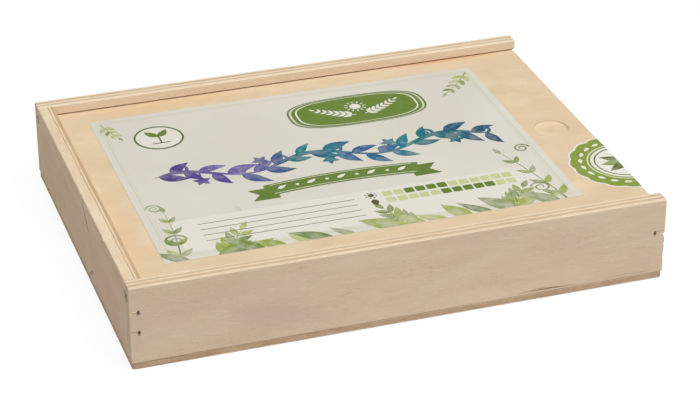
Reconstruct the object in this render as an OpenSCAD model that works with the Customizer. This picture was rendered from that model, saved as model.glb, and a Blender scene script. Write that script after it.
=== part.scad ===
// Shallow plywood seed box whose lid slides out over the low end wall.
// The origin is the middle of the underside. X runs along the box, Y from the
// front wall to the back wall, and Z up. All sizes are in millimetres.

/* [Box] */
// Length of the front and back walls
box_length = 290; // [282:1:360]
// Width over the front and back walls
box_width = 220; // [198:1:280]
// Height from the underside to the rim
box_height = 47; // [43:1:70]
// Thickness of the plywood walls
wall = 9; // [8:0.5:12]
// Width of the sanded edges that show
edge_break = 0.5; // [0.2:0.1:0.8]
// How far the low end wall and the lid stop short of the long walls' ends
open_end_inset = 1.2; // [0.6:0.2:3]

/* [Bottom panel] */
// Thickness of the bottom panel
bottom_thickness = 4; // [2.5:0.5:5]
// How far the bottom panel stands back from the walls' outer faces
bottom_inset = 0.3; // [0.2:0.1:1.2]
// Corner radius of the bottom panel
bottom_corner = 1.5; // [1:0.5:4]

/* [Lid and its groove] */
// Thickness of the sliding lid
lid_thickness = 4; // [3:0.5:5]
// Height of the rim that stands above the groove
rim_height = 5.5; // [4.5:0.5:8]
// Depth of the groove in the walls
groove_depth = 4.5; // [3.5:0.5:5]
// Width of the eased edges at the groove's mouth
groove_lead = 0.4; // [0.2:0.1:0.6]
// Gap under the lid in its groove
gap_under_lid = 0.15; // [0.1:0.05:0.3]
// Gap over the lid in its groove
gap_over_lid = 0.35; // [0.25:0.05:0.6]
// Gap between each long edge of the lid and the groove's floor
lid_side_gap = 0.5; // [0.3:0.1:1]
// Gap between the lid and the floor of the closed end's groove
lid_end_gap = 0.6; // [0.3:0.1:1]
// Cut on the two corners of the lid that enter the grooves first
lid_corner_cut = 3; // [1:0.5:5]

/* [Finger recess] */
// Diameter of the round recess in the lid
recess_diameter = 19; // [14:0.5:24]
// Depth of the recess at its wall
recess_rim_depth = 1; // [0.6:0.1:1.4]
// Further depth of its dished floor at the middle
recess_dish = 0.5; // [0.2:0.1:1]
// Distance of the recess's middle from the lid's open end
recess_from_end = 18.8; // [14:0.2:26]
// Place of the recess across the lid, from the middle line
recess_offset = -2.5; // [-10:0.5:10]

/* [Dividers] */
// Thickness of the two dividers
divider_thickness = 3; // [2.5:0.5:4.5]
// Distance of the dividers' top edges below the top of the low end wall
divider_drop = 4; // [1:1:14]
// Depth of the upright housings that hold the dividers' ends
housing_depth = 2; // [1:0.5:3]
// Glue gap round a divider's end in its housing
housing_gap = 0.1; // [0.05:0.05:0.2]

/* [Seed packets] */
// Width of a seed packet
packet_width = 82; // [60:1:83]
// Length of a seed packet
packet_length = 125; // [100:1:150]
// Thickness of a filled packet at its middle
packet_crown = 4.4; // [3:0.2:8]
// Thickness of a packet at its folded edges
packet_edge = 0.8; // [0.5:0.1:1.2]
// Length of the glued flap at a packet's top
flap_length = 24; // [14:1:34]
// Thickness that the flap adds
flap_step = 0.4; // [0.2:0.1:0.6]
// Distance of the packets from the front wall
packet_from_front = 16; // [6:1:20]

/* [Label] */
// Length of the paper label on the lid
label_length = 229; // [150:1:236]
// Width of the label
label_width = 168; // [100:1:172]
// Thickness of the label and of the seal
paper_thickness = 0.2; // [0.1:0.05:0.2]
// Distance of the label from the lid's open end
label_from_end = 34.2; // [33:0.2:40]
// Place of the label across the lid, from the middle line
label_offset = 2; // [-4:0.5:4]

/* [Seal] */
// Diameter of the round seal over its lobes
seal_diameter = 61.5; // [40:0.5:64]
// Number of lobes round the seal
seal_lobes = 16; // [12:2:32]
// Depth of the notches between the lobes
seal_notch = 1.2; // [0.6:0.1:2]
// Distance of the seal's middle below the fold at the lid's edge
seal_fold = 2.7; // [2:0.1:14]
// Distance of the seal's middle from the front wall's outer face
seal_from_front = 57.3; // [54:0.1:162]

/* [Brads] */
// Width of a brad, across the wall's length
brad_width = 1.2; // [1:0.1:1.6]
// Height of a brad's shank
brad_shank = 1; // [0.8:0.1:1.4]
// Height of a brad's head
brad_head = 2.6; // [2:0.1:3.2]
// Thickness of a brad's head
brad_head_thickness = 0.8; // [0.5:0.1:1]
// Depth to which the corner brads are sunk
brad_sink = 0.9; // [0.4:0.1:1.2]
// Length of the corner brads
brad_length = 24; // [18:1:30]
// Height of the groove's floor above the upper brad of a closed corner
closed_brad_drop = 4.2; // [3:0.2:8]
// Height between the two brads of a closed corner
closed_brad_pitch = 11.6; // [8:0.2:14]
// Height of the groove's floor above the brad of an open corner
open_brad_drop = 8.9; // [4:0.1:14]
// Length of the brads in the bottom panel
bottom_brad_length = 12; // [9:0.5:13]
// Depth to which the bottom brads are sunk
bottom_brad_sink = 0.4; // [0.2:0.1:0.8]
// Distance between the bottom brads along the long walls
long_brad_pitch = 92; // [60:1:110]
// Distance between the bottom brads along the end walls
end_brad_pitch = 110; // [60:1:140]

/* [Hidden] */

// Colours of the finishes
face_ply = [0.80, 0.68, 0.54];
end_ply = [0.72, 0.61, 0.49];
lid_ply = [0.89, 0.77, 0.61];
thin_ply = [0.66, 0.50, 0.40];
paper_white = [0.84, 0.83, 0.78];
seal_green = [0.48, 0.63, 0.22];
kraft = [0.74, 0.60, 0.42];
brad_steel = [0.38, 0.35, 0.32];

// Reach of a cut past the face that it opens
over = 1;

half_length = box_length / 2;
half_width = box_width / 2;
inner_half_width = half_width - wall;
closed_face = -half_length + wall;
open_end = half_length - open_end_inset;
open_face = open_end - wall;

// Heights of the groove and of the lid in it
groove_height = gap_under_lid + lid_thickness + gap_over_lid;
groove_floor = box_height - rim_height - groove_height;
lid_underside = groove_floor + gap_under_lid;
lid_top = lid_underside + lid_thickness;

// Plan of the lid
lid_start = closed_face - groove_depth + lid_end_gap;
lid_half_width = inner_half_width + groove_depth - lid_side_gap;
seal_offset = seal_from_front - half_width;

// Bays between the end walls, split by two dividers
bay_count = 3;
bay_length = (open_face - closed_face - (bay_count - 1) * divider_thickness) / bay_count;
bay_pitch = bay_length + divider_thickness;
function bay_start(index) = closed_face + index * bay_pitch;
function divider_start(index) = bay_start(index) - divider_thickness;
divider_height = groove_floor - bottom_thickness - divider_drop;

// Turn of each packet as it lies in its bay, in degrees
left_packet_turn = 0.8;
middle_packet_turn = -0.6;
right_packet_turn = 0.5;

// Counts of steps in the curved outlines
packet_columns = 12;
packet_rows = 12;
steps_per_lobe = 12;
recess_steps = 8;

// Corner of an outline: one point, or two where the corner is cut at 45 degrees.
// The outline arrives along the first direction and leaves along the second.
function corner(point, arrive, leave, cut) =
    cut > 0 ? [point - arrive * cut, point + leave * cut] : [point];

// Rectangle whose corners are cut by the four sizes in cuts, from the lower
// left corner round to the upper left one.
function cut_rectangle(width, height, cuts) = concat(
    corner([0, 0], [0, -1], [1, 0], cuts[0]),
    corner([width, 0], [1, 0], [0, 1], cuts[1]),
    corner([width, height], [0, 1], [-1, 0], cuts[2]),
    corner([0, height], [-1, 0], [0, -1], cuts[3])
);

// Board with chosen edges sanded: the cuts are those of the board seen along
// X, along Y and along Z.
module board(low, size, along_x, along_y, along_z) {
    translate(low)
        intersection() {
            rotate([90, 0, 90])
                linear_extrude(size.x)
                    polygon(cut_rectangle(size.y, size.z, along_x));
            translate([0, size.y, 0])
                rotate([90, 0, 0])
                    linear_extrude(size.y)
                        polygon(cut_rectangle(size.x, size.z, along_y));
            linear_extrude(size.z)
                polygon(cut_rectangle(size.x, size.y, along_z));
        }
}

// Space of the lid groove along X from the origin, with its mouth facing +Y
// and eased on both sides.
module groove_space(length) {
    rotate([90, 0, 90])
        linear_extrude(length)
            polygon([
                [-groove_depth, 0],
                [-groove_lead, 0],
                [over, -groove_lead - over],
                [over, groove_height + groove_lead + over],
                [-groove_lead, groove_height],
                [-groove_depth, groove_height]
            ]);
}

// Brad driven along +Y from a face at the origin, with its head sunk below it.
module brad(length, sink) {
    translate([-brad_width / 2, sink, -brad_head / 2])
        cube([brad_width, brad_head_thickness, brad_head]);
    translate([-brad_width / 2, sink, -brad_shank / 2])
        cube([brad_width, length, brad_shank]);
}

// Space that such a brad takes, with the open pocket over its head.
module brad_space(length, sink) {
    translate([-brad_width / 2, -over, -brad_head / 2])
        cube([brad_width, over + sink + brad_head_thickness, brad_head]);
    translate([-brad_width / 2, 0, -brad_shank / 2])
        cube([brad_width, sink + length, brad_shank]);
}

// Puts its children at the two brads of the front corner at the closed end.
module at_closed_corner() {
    for (drop = [closed_brad_drop, closed_brad_drop + closed_brad_pitch])
        translate([-half_length + wall / 2, -half_width, groove_floor - drop])
            children();
}

// Puts its children at the one brad of the front corner at the open end.
module at_open_corner() {
    translate([open_end - wall / 2, -half_width, groove_floor - open_brad_drop])
        children();
}

// Puts its children at the bottom brads, driven up into all four walls.
module at_bottom_brads() {
    for (side = [-1, 1], step = [-1, 0, 1])
        translate([step * long_brad_pitch, side * (half_width - wall / 2), 0])
            rotate([90, 0, 0])
                children();
    for (x = [-half_length + wall / 2, open_end - wall / 2], side = [-1, 1])
        translate([x, side * end_brad_pitch / 2, 0])
            rotate([90, 0, 90])
                children();
}

// Long wall at the front, with the groove running out at both ends.
module long_wall() {
    difference() {
        board(
            [-half_length, -half_width, bottom_thickness],
            [box_length, wall, box_height - bottom_thickness],
            [0, 0, edge_break, edge_break],
            [0, 0, edge_break, edge_break],
            [edge_break, edge_break, 0, 0]
        );
        translate([-half_length - over, -inner_half_width, groove_floor])
            groove_space(box_length + 2 * over);
        for (index = [1 : bay_count - 1])
            translate([divider_start(index), -inner_half_width, bottom_thickness])
                divider_housing();
        at_closed_corner()
            brad_space(brad_length, brad_sink);
        at_open_corner()
            brad_space(brad_length, brad_sink);
        at_bottom_brads()
            brad_space(bottom_brad_length, bottom_brad_sink);
    }
}

// Upright housing for one end of a divider, cut into the front wall.
module divider_housing() {
    translate([-housing_gap, -housing_depth, -over])
        cube([
            divider_thickness + 2 * housing_gap,
            housing_depth + over,
            divider_height + housing_gap + over
        ]);
}

module front_wall() {
    color(face_ply)
        long_wall();
}

module back_wall() {
    color(face_ply)
        mirror([0, 1, 0])
            long_wall();
}

// Puts its children at the front, and mirrored at the back.
module both_sides() {
    children();
    mirror([0, 1, 0])
        children();
}

// Full-height wall between the long walls, with the groove for the lid's end.
module closed_end_wall() {
    color(end_ply)
        difference() {
            board(
                [-half_length, -inner_half_width, bottom_thickness],
                [wall, 2 * inner_half_width, box_height - bottom_thickness],
                [0, 0, 0, 0],
                [0, 0, edge_break, edge_break],
                [0, 0, 0, 0]
            );
            translate([closed_face, inner_half_width + over, groove_floor])
                rotate([0, 0, -90])
                    groove_space(2 * (inner_half_width + over));
            both_sides()
                at_closed_corner()
                    brad_space(brad_length, brad_sink);
            at_bottom_brads()
                brad_space(bottom_brad_length, bottom_brad_sink);
        }
}

// Low wall that the lid slides over.
module open_end_wall() {
    color(end_ply)
        difference() {
            board(
                [open_face, -inner_half_width, bottom_thickness],
                [wall, 2 * inner_half_width, groove_floor - bottom_thickness],
                [0, 0, 0, 0],
                [0, 0, edge_break, edge_break],
                [0, 0, 0, 0]
            );
            both_sides()
                at_open_corner()
                    brad_space(brad_length, brad_sink);
            at_bottom_brads()
                brad_space(bottom_brad_length, bottom_brad_sink);
        }
}

// Thin panel under all four walls, with rounded corners.
module bottom_panel() {
    corner_x = half_length - bottom_inset - bottom_corner;
    corner_y = half_width - bottom_inset - bottom_corner;
    color(thin_ply)
        difference() {
            linear_extrude(bottom_thickness)
                union() {
                    square([2 * corner_x, 2 * (corner_y + bottom_corner)], center = true);
                    square([2 * (corner_x + bottom_corner), 2 * corner_y], center = true);
                    for (x = [-corner_x, corner_x], y = [-corner_y, corner_y])
                        translate([x, y])
                            circle(bottom_corner, $fn = 32);
                }
            at_bottom_brads()
                brad_space(bottom_brad_length, bottom_brad_sink);
        }
}

// Divider whose ends sit in the long walls' housings.
module divider(index) {
    half_span = inner_half_width + housing_depth - housing_gap;
    color(lid_ply)
        board(
            [divider_start(index), -half_span, bottom_thickness],
            [divider_thickness, 2 * half_span, divider_height],
            [0, 0, 0, 0],
            [0, 0, edge_break, edge_break],
            [0, 0, 0, 0]
        );
}

module left_divider() {
    divider(1);
}

module right_divider() {
    divider(2);
}

// Height of a packet's top, at a place across it from -1 to 1 and at a
// distance along it: a pillow between thin folded edges, and the flap on it.
function packet_height(across, along) =
    let (lengthwise = 2 * along / packet_length - 1)
    packet_edge
    + (packet_crown - packet_edge) * (1 - pow(across, 4)) * (1 - pow(lengthwise, 6))
    + (along > packet_length - flap_length ? flap_step : 0);

// Places along a packet, closely spaced on both sides of the flap's edge.
packet_stations = concat(
    [for (step = [0 : packet_rows]) (packet_length - flap_length) * step / packet_rows],
    [for (step = [0 : 4]) packet_length - flap_length + 0.3 + (flap_length - 0.3) * step / 4]
);

// Paper packet that lies on its back, with its lower edge on the X axis.
module seed_packet() {
    columns = packet_columns + 1;
    rows = len(packet_stations);
    count = columns * rows;
    tops = [
        for (along = packet_stations, column = [0 : packet_columns])
            let (across = 2 * column / packet_columns - 1)
            [across * packet_width / 2, along, packet_height(across, along)]
    ];
    bases = [for (point = tops) [point.x, point.y, 0]];
    skin = [
        for (row = [0 : rows - 2], column = [0 : packet_columns - 1])
            let (a = row * columns + column)
            [a, a + 1, a + columns + 1, a + columns]
    ];
    rim = concat(
        [for (column = [0 : packet_columns]) column],
        [for (row = [1 : rows - 1]) row * columns + packet_columns],
        [for (column = [1 : packet_columns]) (rows - 1) * columns + packet_columns - column],
        [for (row = [1 : rows - 2]) (rows - 1 - row) * columns]
    );
    faces = concat(
        [for (cell = skin) [cell[0], cell[2], cell[1]]],
        [for (cell = skin) [cell[0], cell[3], cell[2]]],
        [for (cell = skin) [count + cell[0], count + cell[1], count + cell[2]]],
        [for (cell = skin) [count + cell[0], count + cell[2], count + cell[3]]],
        [
            for (index = [0 : len(rim) - 1])
                let (a = rim[index], b = rim[(index + 1) % len(rim)])
                [a, b, count + b]
        ],
        [
            for (index = [0 : len(rim) - 1])
                let (a = rim[index], b = rim[(index + 1) % len(rim)])
                [a, count + b, count + a]
        ]
    );
    polyhedron(concat(tops, bases), faces);
}

// Packet in the middle of a bay, turned a little as it lies.
module bay_packet(index, turn) {
    color(kraft)
        translate([
            bay_start(index) + bay_length / 2,
            -inner_half_width + packet_from_front + packet_length / 2,
            bottom_thickness
        ])
            rotate([0, 0, turn])
                translate([0, -packet_length / 2, 0])
                    seed_packet();
}

module left_packet() {
    bay_packet(0, left_packet_turn);
}

module middle_packet() {
    bay_packet(1, middle_packet_turn);
}

module right_packet() {
    bay_packet(2, right_packet_turn);
}

// Half section of the finger recess: an upright wall and a dished floor.
recess_section = concat(
    [[0, over]],
    [
        for (step = [0 : recess_steps])
            let (share = step / recess_steps)
            [share * recess_diameter / 2, -recess_rim_depth - recess_dish * (1 - share * share)]
    ],
    [[recess_diameter / 2, over]]
);

// Sliding lid, with its leading corners cut and a round finger recess.
module lid_panel() {
    color(lid_ply)
        difference() {
            translate([lid_start, -lid_half_width, lid_underside])
                linear_extrude(lid_thickness)
                    polygon(cut_rectangle(
                        open_end - lid_start,
                        2 * lid_half_width,
                        [lid_corner_cut, 0, 0, lid_corner_cut]
                    ));
            translate([open_end - recess_from_end, recess_offset, lid_top])
                rotate_extrude($fn = 64)
                    polygon(recess_section);
        }
}

// Paper label on the lid.
module lid_label() {
    color(paper_white)
        translate([
            open_end - label_from_end - label_length,
            label_offset - label_width / 2,
            lid_top
        ])
            cube([label_length, label_width, paper_thickness]);
}

// Outline of the whole seal laid flat, with rounded lobes between sharp notches.
seal_outline = [
    for (step = [0 : seal_lobes * steps_per_lobe - 1])
        let (angle = 360 * step / (seal_lobes * steps_per_lobe))
        let (reach = seal_diameter / 2 - seal_notch * (1 - abs(sin(seal_lobes * angle / 2))))
        [reach * cos(angle), reach * sin(angle)]
];

// Whole seal lying on the lid's plane, with its middle past the lid's end.
module flat_seal() {
    translate([open_end + seal_fold, seal_offset, lid_top])
        linear_extrude(paper_thickness)
            polygon(seal_outline);
}

// Whole seal hanging on the plane of the end wall's outer face.
module hanging_seal() {
    translate([open_end, seal_offset, lid_top - seal_fold])
        rotate([0, 90, 0])
            linear_extrude(paper_thickness)
                polygon(seal_outline);
}

// Part of the hanging seal between two heights.
module seal_band(bottom, top) {
    intersection() {
        hanging_seal();
        translate([open_end - over, seal_offset - seal_diameter, bottom])
            cube([2 * over, 2 * seal_diameter, top - bottom]);
    }
}

// Part of the seal on the lid, folded down over the lid's end.
module seal_lid_half() {
    color(seal_green)
        union() {
            intersection() {
                flat_seal();
                translate([open_end - seal_diameter, seal_offset - seal_diameter, lid_underside])
                    cube([seal_diameter + paper_thickness, 2 * seal_diameter, box_height]);
            }
            seal_band(lid_underside, lid_top + paper_thickness);
        }
}

// Part of the seal on the end wall, below the slit at the lid's underside.
module seal_wall_half() {
    color(seal_green)
        seal_band(bottom_thickness + paper_thickness, groove_floor - edge_break);
}

module front_left_brads() {
    color(brad_steel)
        at_closed_corner()
            brad(brad_length, brad_sink);
}

module front_right_brad() {
    color(brad_steel)
        at_open_corner()
            brad(brad_length, brad_sink);
}

module back_left_brads() {
    color(brad_steel)
        mirror([0, 1, 0])
            at_closed_corner()
                brad(brad_length, brad_sink);
}

module back_right_brad() {
    color(brad_steel)
        mirror([0, 1, 0])
            at_open_corner()
                brad(brad_length, brad_sink);
}

module bottom_brads() {
    color(brad_steel)
        at_bottom_brads()
            brad(bottom_brad_length, bottom_brad_sink);
}

front_wall();
back_wall();
closed_end_wall();
open_end_wall();
bottom_panel();
left_divider();
right_divider();
left_packet();
middle_packet();
right_packet();
lid_panel();
lid_label();
seal_lid_half();
seal_wall_half();
front_left_brads();
front_right_brad();
back_left_brads();
back_right_brad();
bottom_brads();
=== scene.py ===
"""Looks of a shallow plywood seed box with a sliding lid, a printed label, a folded seal and seed packets.

Shapes are worked out in millimetres and put into meshes in metres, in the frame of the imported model:
+X towards the low end over which the lid slides out, +Y towards the back wall, +Z up.
"""

import logging
import math
from collections.abc import Callable, Sequence
from dataclasses import dataclass, field
from enum import Enum
from functools import cache

import bmesh
import bpy
import numpy as np
from mathutils import Matrix, Vector


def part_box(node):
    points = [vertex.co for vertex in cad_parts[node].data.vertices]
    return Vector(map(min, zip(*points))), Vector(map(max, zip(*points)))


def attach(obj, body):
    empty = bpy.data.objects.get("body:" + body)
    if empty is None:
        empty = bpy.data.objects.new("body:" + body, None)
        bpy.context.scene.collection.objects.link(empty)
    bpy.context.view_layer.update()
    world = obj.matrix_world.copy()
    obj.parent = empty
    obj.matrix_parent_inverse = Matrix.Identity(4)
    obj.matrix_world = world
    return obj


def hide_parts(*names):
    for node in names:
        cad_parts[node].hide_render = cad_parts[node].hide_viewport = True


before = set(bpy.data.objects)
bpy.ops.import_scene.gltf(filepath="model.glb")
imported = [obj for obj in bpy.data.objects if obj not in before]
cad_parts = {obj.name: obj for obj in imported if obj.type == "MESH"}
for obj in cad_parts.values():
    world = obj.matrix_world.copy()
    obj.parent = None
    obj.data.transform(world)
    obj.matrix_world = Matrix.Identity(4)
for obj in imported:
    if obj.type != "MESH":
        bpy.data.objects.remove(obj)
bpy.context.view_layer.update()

MM = 0.001
TURN = 2 * math.pi
LOG = logging.getLogger("seed_box")

Point = Sequence[float]
Array = np.ndarray
Piece = bpy.types.Object
Tree = bpy.types.NodeTree
Socket = bpy.types.NodeSocket
Pair = tuple[float, float]
Triple = tuple[float, float, float]
Colour = tuple[float, float, float, float]
Value = Socket | float | int | Sequence[float]
Inputs = dict[str | int, Value]


def tint(code: str) -> Colour:
    """Turns a colour written as six hexadecimal digits into linear light.

    Each part c becomes ((c + 0.055) / 1.055)^2.4, or c / 12.92 where it is very dark.

    Args:
        code: Red, green and blue as a screen shows them, such as "C8B098".

    Returns:
        The linear colour with full cover.
    """
    parts = np.array([int(code[place:place + 2], 16) for place in (0, 2, 4)]) / 255
    light = np.where(parts <= 0.04045, parts / 12.92, ((parts + 0.055) / 1.055) ** 2.4)
    return (*(float(part) for part in light), 1.0)


def node_box(node: str) -> tuple[Array, Array]:
    """Gives the lowest and highest corner of a node of the frame, in millimetres."""
    low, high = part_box(node)
    return np.array(low) / MM, np.array(high) / MM


# Shapes


def grid_quads(rows: int, columns: int, closed: bool = False) -> Array:
    """Numbers the quads of a grid of points that are counted row by row.

    Args:
        rows: Rows of points.
        columns: Points in a row.
        closed: Whether the last column joins the first.

    Returns:
        One row of four point numbers for each quad.
    """
    row = np.arange(rows - 1)[:, None]
    column = np.arange(columns if closed else columns - 1)[None, :]
    near = row * columns + column
    far = row * columns + (column + 1) % columns
    return np.stack([near, far, far + columns, near + columns], axis=-1).reshape(-1, 4)


def raised(plan: Array, height: float | Array = 0.0) -> Array:
    """Adds a height to points in plan, as their third coordinate."""
    return np.concatenate([plan, np.broadcast_to(height, (*plan.shape[:-1], 1))], axis=-1)


@dataclass
class Surface:
    """Points in millimetres, with quads, larger polygons and values kept on the points."""

    points: Array
    quads: Array = field(default_factory=lambda: np.zeros((0, 4), int))
    polygons: list[Array] = field(default_factory=list)
    values: dict[str, Array] = field(default_factory=dict)

    @staticmethod
    def sheet(grid: Array, closed: bool = False, **values: Array) -> "Surface":
        """Makes an open surface from points by row and column, closed if the last column joins the first."""
        return Surface(grid.reshape(-1, 3), grid_quads(*grid.shape[:2], closed), values=values)

    @staticmethod
    def tube(rings: Array) -> "Surface":
        """Makes a closed surface from rings of points, and fills the first and the last one.

        Args:
            rings: Points by ring and place in the ring.

        Returns:
            The surface.
        """
        shell = Surface.sheet(rings, closed=True)
        count = rings.shape[1]
        shell.polygons = [np.arange(count)[::-1], (len(rings) - 1) * count + np.arange(count)]
        return shell

    @staticmethod
    def joined(parts: Sequence["Surface"]) -> "Surface":
        """Puts several surfaces into one, each keeping its own points.

        Args:
            parts: The surfaces.

        Returns:
            One surface, whose values are 0 where a part has none.
        """
        counts = [len(part.points) for part in parts]
        starts = np.concatenate([[0], np.cumsum(counts)[:-1]]).astype(int)
        names = {name for part in parts for name in part.values}
        filled = [{name: np.zeros(len(part.points)) for name in names} | part.values for part in parts]
        values = {name: np.concatenate([known[name] for known in filled]) for name in names}
        return Surface(
            np.concatenate([part.points for part in parts]),
            np.concatenate([part.quads + start for part, start in zip(parts, starts)]),
            [polygon + start for part, start in zip(parts, starts) for polygon in part.polygons],
            values,
        )

    def mapped(self, place: Callable[[Array], Array]) -> "Surface":
        """Gives the same surface with its points moved by a function of all of them."""
        return Surface(place(self.points), self.quads, self.polygons, self.values)

    def moved(self, *shift: float) -> "Surface":
        """Gives the same surface moved along x, y and z."""
        return self.mapped(lambda points: points + np.array(shift))

    def valued(self, **values: float | Array) -> "Surface":
        """Gives the same surface with more values on its points."""
        count = len(self.points)
        added = {name: np.broadcast_to(value, count).astype(float) for name, value in values.items()}
        return Surface(self.points, self.quads, self.polygons, {**self.values, **added})

    def mesh(self, name: str) -> bpy.types.Mesh:
        """Makes a mesh in metres from the surface.

        Args:
            name: Name of the mesh.

        Returns:
            The mesh, with each value as a point attribute.
        """
        made = bpy.data.meshes.new(name)
        faces = self.quads.tolist() + [polygon.tolist() for polygon in self.polygons]
        made.from_pydata((self.points * MM).tolist(), [], faces)
        for key, value in self.values.items():
            attribute = made.attributes.new(key, "FLOAT", "POINT")
            attribute.data.foreach_set("value", np.asarray(value, np.float32))
        made.validate()
        return made

    def built(self, name: str, closed: bool = True) -> Piece:
        """Makes an object from the surface, with its place in its mesh.

        Args:
            name: Name of the object.
            closed: Whether the surface encloses a volume, so that its faces can be turned outwards.

        Returns:
            The object, linked to the scene.
        """
        made = bpy.data.objects.new(name, self.mesh(name))
        bpy.context.scene.collection.objects.link(made)
        if closed:
            work = bmesh.new()
            work.from_mesh(made.data)
            bmesh.ops.recalc_face_normals(work, faces=work.faces)
            work.to_mesh(made.data)
            work.free()
        return made

    def facing_up(self) -> "Surface":
        """Turns the faces of a flat surface so that they all look up, by the sign of their area in plan."""

        def signed(faces: Array) -> Array:
            """Gives twice the area of each face, counted anticlockwise."""
            corner = self.points[faces][..., :2]
            following = np.roll(corner, -1, axis=-2)
            return np.sum(corner[..., 0] * following[..., 1] - following[..., 0] * corner[..., 1], axis=-1)

        quads = self.quads
        if len(quads):
            quads = np.where(signed(quads)[:, None] < 0, quads[:, ::-1], quads)
        polygons = [face[::-1] if signed(face) < 0 else face for face in self.polygons]
        return Surface(self.points, quads, polygons, self.values)

    def clipped(self, low: Point, high: Point, creases: Sequence[float] = ()) -> "Surface":
        """Cuts a flat surface off at the sides of a rectangle.

        Args:
            low: Least x and y that stay.
            high: Greatest x and y that stay.
            creases: Values of x at which edges are added, so that the surface can bend there.

        Returns:
            What lies in the rectangle, with its values.
        """
        tolerance = 1e-9
        work = bmesh.new()
        work.from_mesh(self.mesh("uncut"))
        planes = [
            ((low[0], 0, 0), (-1, 0, 0), True),
            ((high[0], 0, 0), (1, 0, 0), True),
            ((0, low[1], 0), (0, -1, 0), True),
            ((0, high[1], 0), (0, 1, 0), True),
            *[((place, 0, 0), (1, 0, 0), False) for place in creases],
        ]
        for point, normal, clears in planes:
            spot, everything = Vector(point) * MM, [*work.verts, *work.edges, *work.faces]
            bmesh.ops.bisect_plane(
                work, geom=everything, dist=tolerance, plane_co=spot, plane_no=normal, clear_outer=clears
            )
        layers = {key: work.verts.layers.float[key] for key in self.values}
        work.verts.index_update()
        result = Surface(
            np.array([vertex.co for vertex in work.verts]).reshape(-1, 3) / MM,
            polygons=[np.array([vertex.index for vertex in face.verts]) for face in work.faces],
            values={key: np.array([vertex[layer] for vertex in work.verts]) for key, layer in layers.items()},
        )
        work.free()
        return result


def rectangle(low: Point, high: Point) -> list[Pair]:
    """Gives the four corners of a rectangle in order, from its lowest and highest one."""
    return [(low[0], low[1]), (high[0], low[1]), (high[0], high[1]), (low[0], high[1])]


def rounded_outline(
    corners: Sequence[Point], radii: Sequence[float], steps: int = 4
) -> tuple[Array, Array, Array]:
    """Rounds the corners of an outline.

    Each corner becomes the curve (1 - t)^2 a + 2 t (1 - t) c + t^2 b, from a point a before the corner c to
    a point b after it, both as far from it as its radius.

    Args:
        corners: The outline's corners in order.
        radii: A radius for each corner.
        steps: Pieces of each curve.

    Returns:
        The points, how near each is to the middle of its curve from 0 to 1, and the number of its corner.
    """
    corner = np.array(corners, float)
    reach = np.array(radii, float)[:, None]
    back = np.roll(corner, 1, axis=0) - corner
    forth = np.roll(corner, -1, axis=0) - corner
    start = corner + reach * back / np.linalg.norm(back, axis=1, keepdims=True)
    stop = corner + reach * forth / np.linalg.norm(forth, axis=1, keepdims=True)
    share = np.linspace(0, 1, steps + 1)[None, :, None]
    curve = (1 - share) ** 2 * start[:, None] + 2 * share * (1 - share) * corner[:, None]
    curve += share**2 * stop[:, None]
    nearness = np.tile(np.sin(math.pi * share[0, :, 0]), len(corner))
    return curve.reshape(-1, 2), nearness, np.repeat(np.arange(len(corner)), steps + 1)


def inward(corners: Sequence[Point]) -> Array:
    """Gives how each corner of an outline moves when the outline is drawn in by one millimetre.

    With the inward normals a and b of the two sides, it is (a + b) / (1 + a b).

    Args:
        corners: The outline's corners in order.

    Returns:
        One vector for each corner.
    """
    corner = np.array(corners, float)
    following = np.roll(corner, -1, axis=0)
    side = (following - corner) / np.linalg.norm(following - corner, axis=1, keepdims=True)
    area = np.sum(corner[:, 0] * following[:, 1] - following[:, 0] * corner[:, 1])
    after = np.sign(area) * np.stack([-side[:, 1], side[:, 0]], axis=1)
    before = np.roll(after, 1, axis=0)
    return (before + after) / (1 + np.sum(before * after, axis=1, keepdims=True))


def end_rounded(
    start: float, stop: float, radius: float, spacing: float, steps: int = 4
) -> tuple[Array, Array]:
    """Places the stations of a sweep whose ends are rounded.

    At an angle a from 0 to 90 degrees, the station is radius (1 - cos a) from the end, and the outline is
    drawn in by radius (1 - sin a).

    Args:
        start: Place of the first end.
        stop: Place of the other end.
        radius: Radius of the rounding.
        spacing: Greatest distance between the stations in the middle.
        steps: Pieces of each rounding.

    Returns:
        The stations' places and how far the outline is drawn in at each.
    """
    angle = np.linspace(0, math.pi / 2, steps + 1)
    near, inset = radius * (1 - np.cos(angle)), radius * (1 - np.sin(angle))
    count = max(2, int((stop - start) / spacing))
    middle = np.linspace(start + radius, stop - radius, count)[1:-1]
    places = np.concatenate([start + near, middle, (stop - near)[::-1]])
    return places, np.concatenate([inset, np.zeros(len(middle)), inset[::-1]])


def section(
    corners: Sequence[Point], radii: Sequence[float], spacing: float
) -> tuple[Array, Array, Array, Array]:
    """Makes the outline of a section, with more points in its long stretches.

    Args:
        corners: The outline's corners in order.
        radii: A radius for each corner.
        spacing: Greatest distance between two points.

    Returns:
        The points, how each moves when the outline is drawn in, how near each is to the middle of a rounded
        corner from 0 to 1, and the number of its corner.
    """
    outline, nearness, corner = rounded_outline(corners, radii)
    course = np.column_stack([outline, inward(corners)[corner], nearness])
    stretch = np.roll(course, -1, axis=0) - course
    count = np.maximum(1, np.ceil(np.linalg.norm(stretch[:, :2], axis=1) / spacing)).astype(int)
    number = np.repeat(np.arange(len(course)), count)
    share = (np.arange(count.sum()) - np.repeat(np.cumsum(count) - count, count)) / count[number]
    filled = course[number] + share[:, None] * stretch[number]
    return filled[:, :2], filled[:, 2:4], filled[:, 4], corner[number]


def sweep(outline: Array, course: Array, stations: Array, inset: Array) -> Surface:
    """Carries an outline along a straight line, drawn in by the inset times its course, and closes it."""
    return Surface.tube(raised(outline[None] + inset[:, :, None] * course[None], stations[:, None, None]))


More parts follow.
